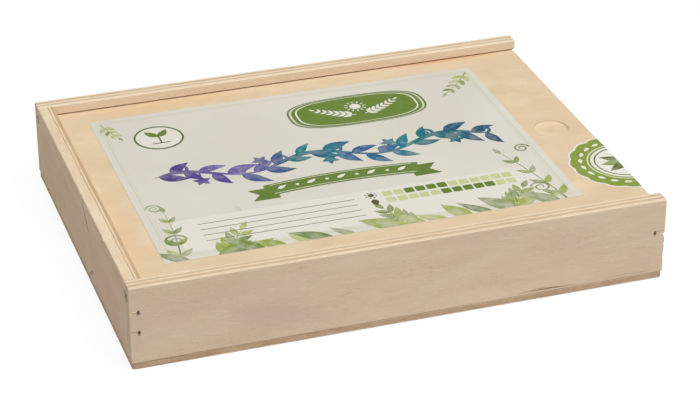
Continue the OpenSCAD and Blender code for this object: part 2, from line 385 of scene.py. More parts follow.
def wander(places: Array, spacing: float, random: np.random.Generator) -> Array:
    """Makes a smooth random course between 0 and 1 along a line.

    Random values stand every spacing millimetres, and between two of them the share s of the way counts as
    s^2 (3 - 2 s).

    Args:
        places: Places along the line.
        spacing: Distance between the random values.
        random: Source of the values.

    Returns:
        One value for each place.
    """
    step = (places - places.min()) / spacing
    heights = random.random(int(step.max()) + 2)
    low = np.floor(step).astype(int)
    share = step - low
    share = share**2 * (3 - 2 * share)
    return heights[low] * (1 - share) + heights[low + 1] * share


def block(low: Point, high: Point) -> Surface:
    """Makes a plain closed box for cutting, between two corners."""
    plan = np.array(rectangle(low, high))
    return Surface.tube(np.stack([raised(plan, low[2]), raised(plan, high[2])]))


def lens(start: Point, stop: Point, width: float, depth: float) -> Surface:
    """Makes a thin cutter for a split that runs over a face seen from the front.

    Across its course it is a wedge. Its half width is width / 2 times the square root of sin(pi s), for the
    share s of its length, and its course strays by stray times its length times sin(bends s).

    Args:
        start: Place of its start, as x and z.
        stop: Place of its end, as x and z.
        width: Its greatest width on the face.
        depth: Its greatest depth below the face.

    Returns:
        The cutter, with the face at y = 0 and the wood at y > 0.
    """
    stray, bends, above, tip = 0.02, 5.0, 1.0, 0.02
    share = np.linspace(tip, 1 - tip, 15)
    course = np.array(stop, float) - np.array(start, float)
    length = np.linalg.norm(course)
    side = np.array([-course[1], course[0]]) / length
    path = start + share[:, None] * course + (stray * length * np.sin(bends * share))[:, None] * side
    fullness = np.sqrt(np.sin(math.pi * share))
    first = path - (width / 2 * fullness)[:, None] * side
    second = path + (width / 2 * fullness)[:, None] * side
    levels = ((first, -above), (second, -above), (second, 0.0), (path, depth * fullness), (first, 0.0))
    return Surface.tube(np.stack([np.insert(line, 1, level, axis=1) for line, level in levels], axis=1))


def pocket(centre: Point, size: Point, depth: float, seed: int, taper: float = 1.0) -> Surface:
    """Makes a cutter for the torn hole over a brad, with the face at y = 0 and the wood at y > 0.

    Its outline is (w c, h s) for half the width w and half the height h, where c and s are the cosine and the
    sine to the power of the squareness with their signs kept, each point is drawn in by a random share, and
    the width shrinks evenly upwards.

    Args:
        centre: Place on the face, as x and z.
        size: Width and height of the hole.
        depth: Depth of the hole.
        seed: Seed of its ragged outline.
        taper: Width of its upper end as a share of that of its lower end.

    Returns:
        The cutter.
    """
    squareness, raggedness, columns = 0.6, 0.28, 20
    angle = np.linspace(0, TURN, columns, endpoint=False)
    around = np.stack([np.cos(angle), np.sin(angle)], axis=1)
    outline = np.sign(around) * np.abs(around) ** squareness * np.array(size) / 2
    outline[:, 0] *= (1 + taper) / 2 - (1 - taper) * outline[:, 1] / size[1]
    outline *= (1 - raggedness * np.random.default_rng(seed).random(columns))[:, None]
    stations = np.array([-1.0, 0.0, depth / 3, depth])
    drawn_in = np.array([-0.2, 0.0, 0.12, 0.4])
    skin = sweep(outline, -outline, stations, np.broadcast_to(drawn_in[:, None], (len(stations), columns)))
    return skin.mapped(lambda points: points[:, [0, 2, 1]]).moved(centre[0], 0.0, centre[1])


def cut(target: Piece, cutter: Surface) -> None:
    """Cuts one closed shape out of a piece, fills the small holes that this leaves, and keeps the result.

    Args:
        target: The piece.
        cutter: The shape.
    """
    tool = cutter.built("cutter")
    modifier = target.modifiers.new("cut", "BOOLEAN")
    modifier.operation = "DIFFERENCE"
    modifier.solver = "EXACT"
    modifier.object = tool
    graph = bpy.context.evaluated_depsgraph_get()
    result = bpy.data.meshes.new_from_object(target.evaluated_get(graph))
    target.modifiers.clear()
    work = bmesh.new()
    work.from_mesh(result)
    bmesh.ops.holes_fill(work, edges=work.edges, sides=4)
    work.to_mesh(result)
    work.free()
    target.data = result
    bpy.data.objects.remove(tool)


# Materials


class Graph:
    """Adds nodes to one node tree and joins them."""

    def __init__(self, tree: Tree) -> None:
        """Keeps the tree that the nodes go into."""
        self.tree = tree

    @staticmethod
    def emptied(owner: bpy.types.Material | bpy.types.World) -> "Graph":
        """Clears the nodes of a new material or world, and gives the graph for it."""
        owner.use_nodes = True
        owner.node_tree.nodes.clear()
        return Graph(owner.node_tree)

    def feed(self, socket: Socket, value: Value) -> None:
        """Joins a socket to another one, or sets its own value."""
        if isinstance(value, Socket):
            self.tree.links.new(value, socket)
        else:
            socket.default_value = value

    def add(self, kind: str, inputs: Inputs | None = None, **settings: object) -> bpy.types.Node:
        """Adds a node.

        Args:
            kind: Blender's name for the node's type, without its first word.
            inputs: What goes into its sockets, by name or number.
            settings: Its other settings.

        Returns:
            The node.
        """
        node = self.tree.nodes.new("ShaderNode" + kind)
        for key, setting in settings.items():
            setattr(node, key, setting)
        for key, value in (inputs or {}).items():
            self.feed(node.inputs[key], value)
        return node

    def shade(self, kind: str, inputs: Inputs | None = None) -> Socket:
        """Adds a shader or another node, and gives its first output."""
        return self.add(kind, inputs).outputs[0]

    def math(self, operation: str, *values: Value, clamp: bool = False) -> Socket:
        """Adds a sum, product or other operation on numbers."""
        return self.add("Math", dict(enumerate(values)), operation=operation, use_clamp=clamp).outputs[0]

    def times(self, first: Value, second: Value) -> Socket:
        """Adds a product of two numbers."""
        return self.math("MULTIPLY", first, second)

    def centred(self, value: Value) -> Socket:
        """Moves a value from around one half to around 0."""
        return self.math("SUBTRACT", value, 0.5)

    def vector(self, operation: str, *values: Value) -> Socket:
        """Adds an operation on vectors, and gives the result that it has."""
        node = self.add("VectorMath", dict(enumerate(values)), operation=operation)
        return node.outputs["Value" if operation == "LENGTH" else "Vector"]

    def parts(self, value: Value) -> list[Socket]:
        """Takes a vector apart."""
        return list(self.add("SeparateXYZ", {0: value}).outputs)

    def whole(self, first: Value, second: Value, third: Value) -> Socket:
        """Puts a vector together."""
        return self.shade("CombineXYZ", {0: first, 1: second, 2: third})

    def span(self, value: Value, low: Value, high: Value, start: Value = 0.0, stop: Value = 1.0) -> Socket:
        """Maps the values from low to high onto those from start to stop, eased at both ends."""
        inputs = {"Value": value, "From Min": low, "From Max": high, "To Min": start, "To Max": stop}
        return self.add("MapRange", inputs, interpolation_type="SMOOTHSTEP").outputs[0]

    def noise(
        self, place: Value, pitch: float | Sequence[float], detail: float = 2.0, roughness: float = 0.5
    ) -> Socket:
        """Adds noise around one half, with its frequency along all axes or along each."""
        scaled = self.vector("MULTIPLY", place, (pitch,) * 3 if isinstance(pitch, float) else pitch)
        inputs = {"Vector": scaled, "Scale": 1.0, "Detail": detail, "Roughness": roughness}
        return self.shade("TexNoise", inputs)

    def mixed(self, share: Value, first: Value, second: Value, mode: str = "MIX") -> Socket:
        """Mixes two colours."""
        node = self.add("Mix", {0: share, 6: first, 7: second}, data_type="RGBA", blend_type=mode)
        return node.outputs[2]

    def painted(self, base: Value, mask: Value, strength: Value, code: str, mode: str = "MIX") -> Socket:
        """Lays one colour over another where a mask is, at a strength."""
        return self.mixed(self.times(mask, strength), base, tint(code), mode)

    def group(self, tree: Tree, **inputs: Value) -> bpy.types.bpy_prop_collection:
        """Places a shared effect, and gives its outputs."""
        node = self.tree.nodes.new("ShaderNodeGroup")
        node.node_tree = tree
        for key, value in inputs.items():
            self.feed(node.inputs[key.replace("_", " ")], value)
        return node.outputs


class Effect:
    """A shared effect: a node group with named inputs and outputs."""

    def __init__(self, name: str, inputs: dict[str, Value], outputs: Sequence[str]) -> None:
        """Makes the group and its sockets.

        Args:
            name: Name of the group.
            inputs: First value of each input by name. Three numbers make a vector, one a plain number.
            outputs: Names of its outputs, which are numbers.
        """
        self.tree = bpy.data.node_groups.new(name, "ShaderNodeTree")
        for key, value in inputs.items():
            kind = "NodeSocketFloat" if isinstance(value, (int, float)) else "NodeSocketVector"
            socket = self.tree.interface.new_socket(key, in_out="INPUT", socket_type=kind)
            socket.default_value = value
        for key in outputs:
            self.tree.interface.new_socket(key, in_out="OUTPUT", socket_type="NodeSocketFloat")
        self.graph = Graph(self.tree)
        self.given = self.tree.nodes.new("NodeGroupInput").outputs
        self.results = self.tree.nodes.new("NodeGroupOutput").inputs

    def give(self, **values: Socket) -> Tree:
        """Joins the group's outputs, and returns the finished group."""
        for key, value in values.items():
            self.graph.feed(self.results[key], value)
        return self.tree


@cache
def grain_effect() -> Tree:
    """Makes the grain of wood in millimetres, with its fibres along the first axis.

    Noise that is stretched along the fibres gives streaks on a long face and dots on a sawn end.

    Returns:
        A group that gives a tone from 0 to 1, wide soft patches, masks of short pale flecks and of short dark
        dashes, and a height.
    """
    effect = Effect(
        "wood grain",
        {"Place": (0, 0, 0), "Figure": 1.0, "Fibre": 1.5, "Mottle": 1.0, "Fineness": 1.0},
        ("Tone", "Patches", "Flecks", "Dashes", "Height"),
    )
    graph, given = effect.graph, effect.given
    flat = given["Place"]
    sway_reach, fibre_relief = 9.0, 0.7

    def streaks(spot: Value, along: float, across: float, detail: float, roughness: float = 0.5) -> Socket:
        """Adds noise with a frequency along the fibres and one across them."""
        return graph.noise(spot, (along, across, across), detail, roughness)

    sway = graph.times(streaks(flat, 0.011, 0.02, 1), sway_reach)
    swayed = graph.vector("ADD", flat, graph.whole(0.0, sway, sway))
    fine = graph.add("VectorMath", {0: swayed, "Scale": given["Fineness"]}, operation="SCALE").outputs[0]
    bands = graph.span(streaks(swayed, 0.008, 0.11, 3), 0.3, 0.7)
    fibre = streaks(fine, 0.1, 1.9, 4, 0.65)
    mottle = streaks(flat, 0.035, 0.05, 3)
    tone = graph.math("MULTIPLY_ADD", graph.centred(bands), given["Figure"], 0.5)
    tone = graph.math("MULTIPLY_ADD", graph.centred(fibre), given["Fibre"], tone)
    tone = graph.math("ADD", tone, graph.times(graph.centred(mottle), given["Mottle"]), clamp=True)
    patches = graph.span(streaks(flat, 0.012, 0.024, 2), 0.38, 0.64)
    gathered = graph.span(streaks(flat, 0.02, 0.05, 1), 0.36, 0.6)
    dashes = graph.times(graph.span(streaks(fine, 0.33, 2.7, 2), 0.62, 0.74), gathered)
    flecks = graph.span(streaks(fine, 0.15, 1.6, 3), 0.56, 0.7)
    height = graph.math("SUBTRACT", graph.times(fibre, fibre_relief), dashes)
    return effect.give(Tone=tone, Patches=patches, Flecks=flecks, Dashes=dashes, Height=height)


@cache
def arris_effect() -> Tree:
    """Finds the sanded edges of a board from its middle and half size.

    The distance to the nearest edge is the middle one of the distances to the three pairs of faces.

    Returns:
        A group that gives a mask which is 1 at an edge and fades over a width.
    """
    effect = Effect(
        "sanded edges",
        {"Place": (0, 0, 0), "Middle": (0, 0, 0), "Half size": (1, 1, 1), "Width": 1.0},
        ("Mask",),
    )
    graph, given = effect.graph, effect.given
    full, raggedness = 0.3, 0.9
    offset = graph.vector("ABSOLUTE", graph.vector("SUBTRACT", given["Place"], given["Middle"]))
    gap = graph.parts(graph.vector("SUBTRACT", given["Half size"], offset))
    lesser = graph.math("MINIMUM", gap[0], gap[1])
    greater = graph.math("MAXIMUM", gap[0], gap[1])
    nearest = graph.math("MAXIMUM", lesser, graph.math("MINIMUM", greater, gap[2]))
    nearest = graph.math("ADD", nearest, graph.times(graph.noise(given["Place"], 0.3, 3), raggedness))
    return effect.give(Mask=graph.span(nearest, graph.math("ADD", given["Width"], full), full))


@cache
def spot_effect() -> Tree:
    """Makes a soft, uneven spot that can be long and turned, in millimetres.

    Returns:
        A group that gives a mask which is 1 in the middle of the spot.
    """
    effect = Effect(
        "soft spot",
        {"Place": (0, 0, 0), "Centre": (0, 0, 0), "Turn": (0, 0, 0), "Reach": (1, 1, 1), "Unevenness": 0.5},
        ("Mask",),
    )
    graph, given = effect.graph, effect.given
    full = 0.25
    offset = graph.vector("SUBTRACT", given["Place"], given["Centre"])
    turn = graph.add("VectorRotate", {"Vector": offset, "Rotation": given["Turn"]}, rotation_type="EULER_XYZ")
    distance = graph.vector("LENGTH", graph.vector("DIVIDE", turn.outputs[0], given["Reach"]))
    ragged = graph.centred(graph.noise(given["Place"], 1.1, 3))
    distance = graph.math("MULTIPLY_ADD", ragged, given["Unevenness"], distance)
    return effect.give(Mask=graph.span(distance, 1.0, full))


@cache
def paper_effect() -> Tree:
    """Makes the fine unevenness of paper in millimetres.

    Returns:
        A group that gives a cloudy tone from 0 to 1, scattered specks and a height.
    """
    effect = Effect("paper tooth", {"Place": (0, 0, 0), "Coarseness": 1.0}, ("Tone", "Specks", "Height"))
    graph, given = effect.graph, effect.given
    cloud_share, tooth_share = 0.8, 0.2
    clouds = graph.noise(given["Place"], 0.018, 3)
    fibres = graph.vector("DIVIDE", given["Place"], graph.whole(*[given["Coarseness"]] * 3))
    tooth = graph.noise(fibres, 2.2, 3, 0.6)
    tone = graph.math("MULTIPLY_ADD", clouds, cloud_share, graph.times(tooth, tooth_share))
    specks = graph.span(graph.noise(fibres, (1.1, 2.6, 1.1), 2), 0.66, 0.76)
    return effect.give(Tone=graph.span(tone, 0.3, 0.7), Specks=specks, Height=tooth)


@cache
def wash_effect() -> Tree:
    """Makes the pools and pale runs of thin printed colour.

    Returns:
        A group that gives a strength from 0, pale, to 1, full.
    """
    effect = Effect(
        "thin colour",
        {"Place": (0, 0, 0), "Across": 0.0, "Unevenness": 1.0, "Body": 0.6, "Rim": 0.3},
        ("Strength",),
    )
    graph, given = effect.graph, effect.given
    pools = graph.span(graph.noise(given["Place"], 0.16, 3), 0.35, 0.65)
    pools = graph.times(graph.centred(pools), given["Unevenness"])
    rim = graph.math("POWER", graph.math("ABSOLUTE", given["Across"]), 3.0)
    edged = graph.math("MULTIPLY_ADD", rim, given["Rim"], given["Body"])
    return effect.give(Strength=graph.math("ADD", pools, edged, clamp=True))


class Axis(Enum):
    """An axis of the frame, by its number."""

    X = 0
    Y = 1
    Z = 2


@dataclass(frozen=True)
class Spot:
    """A stain, streak, bruise, painted shade or painted highlight on a board, in millimetres of the frame,
    turned by angles in radians.
    """

    centre: Triple
    reach: Triple
    colour: str
    strength: float = 0.5
    turn: Triple = (0.0, 0.0, 0.0)
    unevenness: float = 0.6


@dataclass(frozen=True)
class Finish:
    """What all finishes share: a name, and the making of a material around one shader."""

    name: str

    def shader(self, graph: Graph, place: Socket) -> dict[str, Value]:
        """Gives what goes into the shader's sockets, for a place in millimetres."""
        raise NotImplementedError

    def material(self) -> bpy.types.Material:
        """Makes the material, or gives it again when it has been made before.

        Returns:
            The material.
        """
        known = bpy.data.materials.get(self.name)
        if known:
            return known
        made = bpy.data.materials.new(self.name)
        graph = Graph.emptied(made)
        place = graph.vector("MULTIPLY", graph.add("TexCoord").outputs["Object"], (1 / MM,) * 3)
        surface = graph.shade("BsdfPrincipled", self.shader(graph, place))
        graph.add("OutputMaterial", {"Surface": surface})
        return made

    @staticmethod
    def bump(graph: Graph, height: Value, depth: float, strength: float = 0.5) -> Socket:
        """Turns a height into a normal, with the depth of the relief in millimetres."""
        return graph.shade("Bump", {"Height": height, "Distance": depth * MM, "Strength": strength})

    @staticmethod
    def toothed(graph: Graph, tooth: Socket, roughness: float, relief: float = 0.01) -> dict[str, Value]:
        """Gives the roughness and the relief of paper, which both follow the height of its tooth."""
        swing = 0.06
        return {
            "Roughness": graph.span(tooth, 0.3, 0.7, roughness - swing, roughness + swing),
            "Normal": Finish.bump(graph, tooth, relief),
        }


@dataclass(frozen=True)
class Plywood(Finish):
    """Bare plywood: a figured face, and on the edges the plies as they lie in the board.

    The outer face is that at the high or the low end of the depth axis of the node's box. The plies that run
    across the grain lie between the first and second joint and between the third and fourth, as depths.
    """

    node: str
    grain: Axis
    depth: Axis
    outer_is_high: bool
    joints: tuple[float, float, float, float]
    pale: str
    deep: str
    blush: str
    long_ply: str
    cross_ply: str
    figure: float = 0.4
    fibre: float = 1.5
    mottle: float = 0.9
    flecks: float = 0.26
    dashes: float = 0.4
    glue: float = 0.4
    waves: float = 0.9
    spots: tuple[Spot, ...] = ()
    fleck_colour: str = "F8EEDD"
    dash_colour: str = "A88A74"
    pore_colour: str = "8A6A50"
    glue_colour: str = "9C7A58"
    worn_colour: str = "F3E2C8"
    blush_share: float = 0.5
    pore_share: float = 0.12
    worn_share: float = 0.35
    worn_width: float = 0.8
    cross_fineness: float = 1.3
    relief: float = 0.05
    shine: float = 0.25

    def plies(self, graph: Graph, place: Socket, depth: Socket) -> tuple[Socket, Socket]:
        """Finds the plies at a depth that waves a little.

        Args:
            graph: The material's nodes.
            place: Place in the frame in millimetres.
            depth: Depth below the outer face.

        Returns:
            A mask of the plies across the grain, and one of the glue lines.
        """
        soft, glue_edge, glue_core = 0.1, 0.2, 0.05
        wavy = graph.math("MULTIPLY_ADD", graph.centred(graph.noise(place, 0.05, 3)), self.waves, depth)
        masks = [
            graph.times(graph.span(wavy, low - soft, low + soft), graph.span(wavy, high + soft, high - soft))
            for low, high in (self.joints[:2], self.joints[2:])
        ]
        gaps = [graph.math("ABSOLUTE", graph.math("SUBTRACT", wavy, joint)) for joint in self.joints]
        nearest = graph.math("MINIMUM", graph.math("MINIMUM", *gaps[:2]), graph.math("MINIMUM", *gaps[2:]))
        return graph.math("MAXIMUM", *masks), graph.span(nearest, glue_edge, glue_core)

    def edges(
        self, graph: Graph, tones: Sequence[Socket], cuts: Sequence[Socket], masks: Sequence[Socket]
    ) -> Socket:
        """Colours the edges of the board, where a ply that is cut across its fibres is darker.

        Args:
            graph: The material's nodes.
            tones: Tone of the grain along the board, and of that across it.
            cuts: How squarely the surface cuts the fibres along the board, and those across it.
            masks: Masks of the plies across the grain, and of the glue lines.

        Returns:
            The colour.
        """
        deep = tint(self.deep)
        long_ply = graph.mixed(graph.span(tones[0], 0.1, 0.8, 0.3), deep, tint(self.long_ply))
        long_ply = graph.mixed(graph.span(cuts[0], 0.5, 0.9, 0.0, 0.15), long_ply, tint(self.cross_ply))
        cross_ply = graph.mixed(graph.span(tones[1], 0.1, 0.8, 0.4), deep, tint(self.cross_ply))
        cut_across = graph.span(cuts[1], 0.5, 0.9, 0.0, 0.6)
        cross_ply = graph.painted(cross_ply, cut_across, self.pore_share, self.pore_colour)
        edge = graph.mixed(masks[0], long_ply, cross_ply)
        return graph.painted(edge, masks[1], self.glue, self.glue_colour)

    def shader(self, graph: Graph, place: Socket) -> dict[str, Value]:
        """Gives the colour, roughness and relief of the board.

        The place is read as (along the grain, across it, depth below the outer face). The wavy depth picks
        the ply on an edge, and each ply has its own grain.

        Args:
            graph: The material's nodes.
            place: Place in the frame in millimetres.

        Returns:
            The shader's inputs.
        """
        low, high = node_box(self.node)
        number, fibres = self.depth.value, self.grain.value
        across = sum(axis.value for axis in Axis) - fibres - number
        corner = np.where(np.arange(3) == number, high if self.outer_is_high else low, 0.0)
        offset = graph.parts(graph.vector("SUBTRACT", place, tuple(corner)))
        normal = graph.parts(graph.vector("ABSOLUTE", graph.add("TexCoord").outputs["Normal"]))
        depth = graph.math("ABSOLUTE", offset[number])
        look = {"Figure": self.figure, "Fibre": self.fibre, "Mottle": self.mottle}
        along = graph.whole(offset[fibres], offset[across], depth)
        beside = graph.whole(offset[across], offset[fibres], depth)
        grain = graph.group(grain_effect(), Place=along, **look)
        other = graph.group(grain_effect(), Place=beside, Fineness=self.cross_fineness, **look)
        inner = graph.math("ABSOLUTE", graph.math("SUBTRACT", depth, float(high[number] - low[number])))
        on_face = graph.span(graph.math("MINIMUM", depth, inner), 0.5, 0.15)
        face = graph.mixed(grain["Tone"], tint(self.deep), tint(self.pale))
        face = graph.painted(face, grain["Patches"], self.blush_share, self.blush)
        face = graph.painted(face, grain["Flecks"], self.flecks, self.fleck_colour)
        tones, cuts = (grain["Tone"], other["Tone"]), (normal[fibres], normal[across])
        edge = self.edges(graph, tones, cuts, self.plies(graph, place, depth))
        colour = graph.mixed(on_face, edge, face)
        colour = graph.painted(colour, grain["Dashes"], self.dashes, self.dash_colour, "MULTIPLY")
        size = {"Middle": tuple((low + high) / 2), "Half_size": tuple((high - low) / 2)}
        worn = graph.group(arris_effect(), Place=place, Width=self.worn_width, **size)[0]
        colour = graph.painted(colour, worn, self.worn_share, self.worn_colour)
        for spot in self.spots:
            shape = {"Centre": spot.centre, "Turn": spot.turn, "Reach": spot.reach}
            mask = graph.group(spot_effect(), Place=place, Unevenness=spot.unevenness, **shape)[0]
            colour = graph.painted(colour, mask, spot.strength, spot.colour)
        return {
            "Base Color": colour,
            "Roughness": graph.span(grain["Tone"], 0.0, 1.0, 0.74, 0.6),
            "Specular IOR Level": self.shine,
            "Normal": self.bump(graph, grain["Height"], self.relief),
        }


@dataclass(frozen=True)
class Paper(Finish):
    """Paper with faint clouds, specks and tooth."""

    pale: str
    deep: str
    speck: str = "B9B4A4"
    specks: float = 0.15
    roughness: float = 0.55
    coarseness: float = 1.0
    relief: float = 0.01
    shine: float = 0.3

    def shader(self, graph: Graph, place: Socket) -> dict[str, Value]:
        """Gives the colour, roughness and relief of the sheet."""
        paper = graph.group(paper_effect(), Place=place, Coarseness=self.coarseness)
        sheet = graph.mixed(paper["Tone"], tint(self.deep), tint(self.pale))
        colour = graph.painted(sheet, paper["Specks"], self.specks, self.speck)
        skin = self.toothed(graph, paper["Height"], self.roughness, self.relief)
        return {"Base Color": colour, "Specular IOR Level": self.shine, **skin}


@dataclass(frozen=True)
class Ink(Finish):
    """Printed colour on paper: tones in order of the value tone on the points, with pools and pale runs.

    The strength is the body in the middle of a stroke and rises by the rim towards its edges.
    """

    tones: tuple[str, ...]
    thinness: float = 0.3
    body: float = 0.6
    rim: float = 0.3
    unevenness: float = 0.8
    vein: float = 0.0
    paper: str = "DCD8CC"
    roughness: float = 0.5
    shine: float = 0.1

    def ramp(self, graph: Graph) -> Socket:
        """Gives the colour of the ink for the value tone, by way of the tones at even steps."""
        node = graph.add("ValToRGB", {"Fac": graph.add("Attribute", attribute_name="tone").outputs["Fac"]})
        elements = node.color_ramp.elements
        elements.remove(elements[1])
        elements[0].color = tint(self.tones[0])
        for number, code in enumerate(self.tones[1:], 1):
            elements.new(number / (len(self.tones) - 1)).color = tint(code)
        return node.outputs["Color"]

    def shader(self, graph: Graph, place: Socket) -> dict[str, Value]:
        """Gives the colour, roughness and relief of the print.

        Args:
            graph: The material's nodes.
            place: Place in the frame in millimetres.

        Returns:
            The shader's inputs.
        """
        across = graph.add("Attribute", attribute_name="across").outputs["Fac"]
        wash = {"Unevenness": self.unevenness, "Body": self.body, "Rim": self.rim}
        strength = graph.group(wash_effect(), Place=place, Across=across, **wash)[0]
        middle = graph.span(graph.math("ABSOLUTE", across), 0.14, 0.02, 0.0, self.vein)
        strength = graph.times(strength, graph.math("SUBTRACT", 1.0, middle))
        full = self.ramp(graph)
        thin = graph.mixed(self.thinness, full, tint(self.paper))
        skin = self.toothed(graph, graph.group(paper_effect(), Place=place)["Height"], self.roughness)
        return {"Base Color": graph.mixed(strength, thin, full), "Specular IOR Level": self.shine, **skin}


@dataclass(frozen=True)
class Wire(Finish):
    """Dull steel wire with a dark skin and touches of rust."""

    skin: str = "3A2A20"
    bare: str = "5E4C40"
    rust: str = "4A2C1A"
    rust_share: float = 0.7

    def shader(self, graph: Graph, place: Socket) -> dict[str, Value]:
        """Gives the colour, metal, roughness and relief of the wire."""
        scratches = graph.noise(place, (1.2, 9.0, 9.0), 3, 0.7)
        rust = graph.span(graph.noise(place, 1.6, 3), 0.5, 0.68)
        colour = graph.mixed(graph.span(scratches, 0.45, 0.7), tint(self.skin), tint(self.bare))
        return {
            "Base Color": graph.painted(colour, rust, self.rust_share, self.rust),
            "Metallic": graph.span(rust, 0.0, 1.0, 0.6, 0.1),
            "Roughness": graph.span(scratches, 0.3, 0.7, 0.38, 0.62),
            "Normal": self.bump(graph, scratches, 0.03, 0.6),
        }


# Placing


class Body(Enum):
    """The two bodies of the model."""

    BOX = "box"
    LID = "lid"


class Slot(Enum):
    """Material slot names for the new pieces, which the script passes along but does not use."""

    WALL = "wall_plywood"
    LID = "lid_plywood"
    BOTTOM = "bottom_plywood"
    DIVIDER = "divider_plywood"
    LABEL = "label_paper"
    SEAL = "seal_paper"
    PACKET = "packet_paper"


def coat(target: Piece, finish: Finish) -> None:
    """Makes a finish the only material of an object."""
    target.data.materials.clear()
    target.data.materials.append(finish.material())


def install(piece: Piece, body: Body, slot: Slot, finish: Finish, *nodes: str) -> None:
    """Gives a piece its finish and puts it on a body, in the place of the nodes that it stands for.

    Args:
        piece: The piece.
        body: The body that it rides on.
        slot: Its material slot; not used.
        finish: Its finish.
        nodes: Nodes that it replaces.
    """
    coat(piece, finish)
    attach(piece, body.value)
    if nodes:
        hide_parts(*nodes)
    LOG.info("%s: %d faces on the %s", piece.name, len(piece.data.polygons), body.value)


def dress(node: str, finish: Finish) -> None:
    """Gives a node of the frame its finish."""
    coat(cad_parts[node], finish)
    LOG.info("%s: dressed", node)


def smoothed(piece: Piece, degrees: float = 42.0) -> Piece:
    """Shades a piece smooth up to an angle, with its large flat faces kept flat.

    Args:
        piece: The piece.
        degrees: Greatest angle between two faces that are shaded as one.

    Returns:
        The same piece.
    """
    piece.data.shade_smooth()
    piece.data.set_sharp_from_angle(angle=math.radians(degrees))
    piece.modifiers.new("even faces", "WEIGHTED_NORMAL").keep_sharp = True
    return piece


def thickened(piece: Piece, thickness: float) -> Piece:
    """Gives a sheet its thickness below its surface.

    Args:
        piece: The sheet.
        thickness: The thickness in millimetres.

    Returns:
        The same sheet.
    """
    modifier = piece.modifiers.new("sheet", "SOLIDIFY")
    modifier.thickness = thickness * MM
    modifier.offset = -1
    return piece


# Boards


@dataclass
class Board:
    """A board whose section is carried along one axis, with softly sanded and slightly uneven edges."""

    corners: Sequence[Point]
    radii: Sequence[float]
    start: float
    stop: float
    along: Axis
    seed: int
    end_radius: float = 0.4
    spacing: float = 2.5
    unevenness: float = 0.25
    raggedness: float = 0.7
    wear_pitch: float = 7.0
    rag_pitch: float = 3.0

    def surface(self) -> Surface:
        """Works out the board's skin.

        The section is drawn in by the rounding of the ends, which is uneven along their edges, plus an uneven
        amount at its own rounded corners.

        Returns:
            The closed surface in the frame.
        """
        random = np.random.default_rng(self.seed)
        outline, course, nearness, corner = section(self.corners, self.radii, self.spacing)
        stations, inset = end_rounded(self.start, self.stop, self.end_radius, self.spacing)
        wear = np.stack([wander(stations, self.wear_pitch, random) for _ in self.corners], axis=1)[:, corner]
        reach = np.array(self.radii)[corner]
        girth = np.linalg.norm(np.diff(outline, axis=0, append=outline[:1]), axis=1).cumsum()
        ragged = 1 + self.raggedness * wander(girth, self.rag_pitch, random) ** 2
        drawn = inset[:, None] * ragged + self.unevenness * reach * nearness * wear
        skin = sweep(outline, course, stations, drawn)
        order = {Axis.X: [2, 0, 1], Axis.Y: [0, 2, 1], Axis.Z: [0, 1, 2]}[self.along]
        return skin.mapped(lambda points: points[:, order])

    def built(self, name: str, *cutters: Surface) -> Piece:
        """Makes the board, and cuts the shapes out of it one after the other."""
        piece = self.surface().built(name)
        for cutter in cutters:
            cut(piece, cutter)
        return smoothed(piece)


@dataclass(frozen=True)
class Wall:
    """A wall's node, the axis across it, and whether its outer face is at the low end of that axis."""

    node: str
    across: Axis
    outer_is_low: bool

    def faces(self) -> Pair:
        """Gives the places of the outer and of the inner face on the axis across the wall."""
        ends = [corner[self.across.value] for corner in node_box(self.node)]
        return (ends[0], ends[1]) if self.outer_is_low else (ends[1], ends[0])


@dataclass(frozen=True)
class Split:
    """A split or a lost chip in a wall's face, as x and z from a point of the wall."""

    start: Pair
    stop: Pair
    width: float
    depth: float

    def cutter(self, x: float, z: float) -> Surface:
        """Makes its cutter for a face at y = 0, from the point x, z."""
        start, stop = (self.start[0] + x, self.start[1] + z), (self.stop[0] + x, self.stop[1] + z)
        return lens(start, stop, self.width, self.depth)


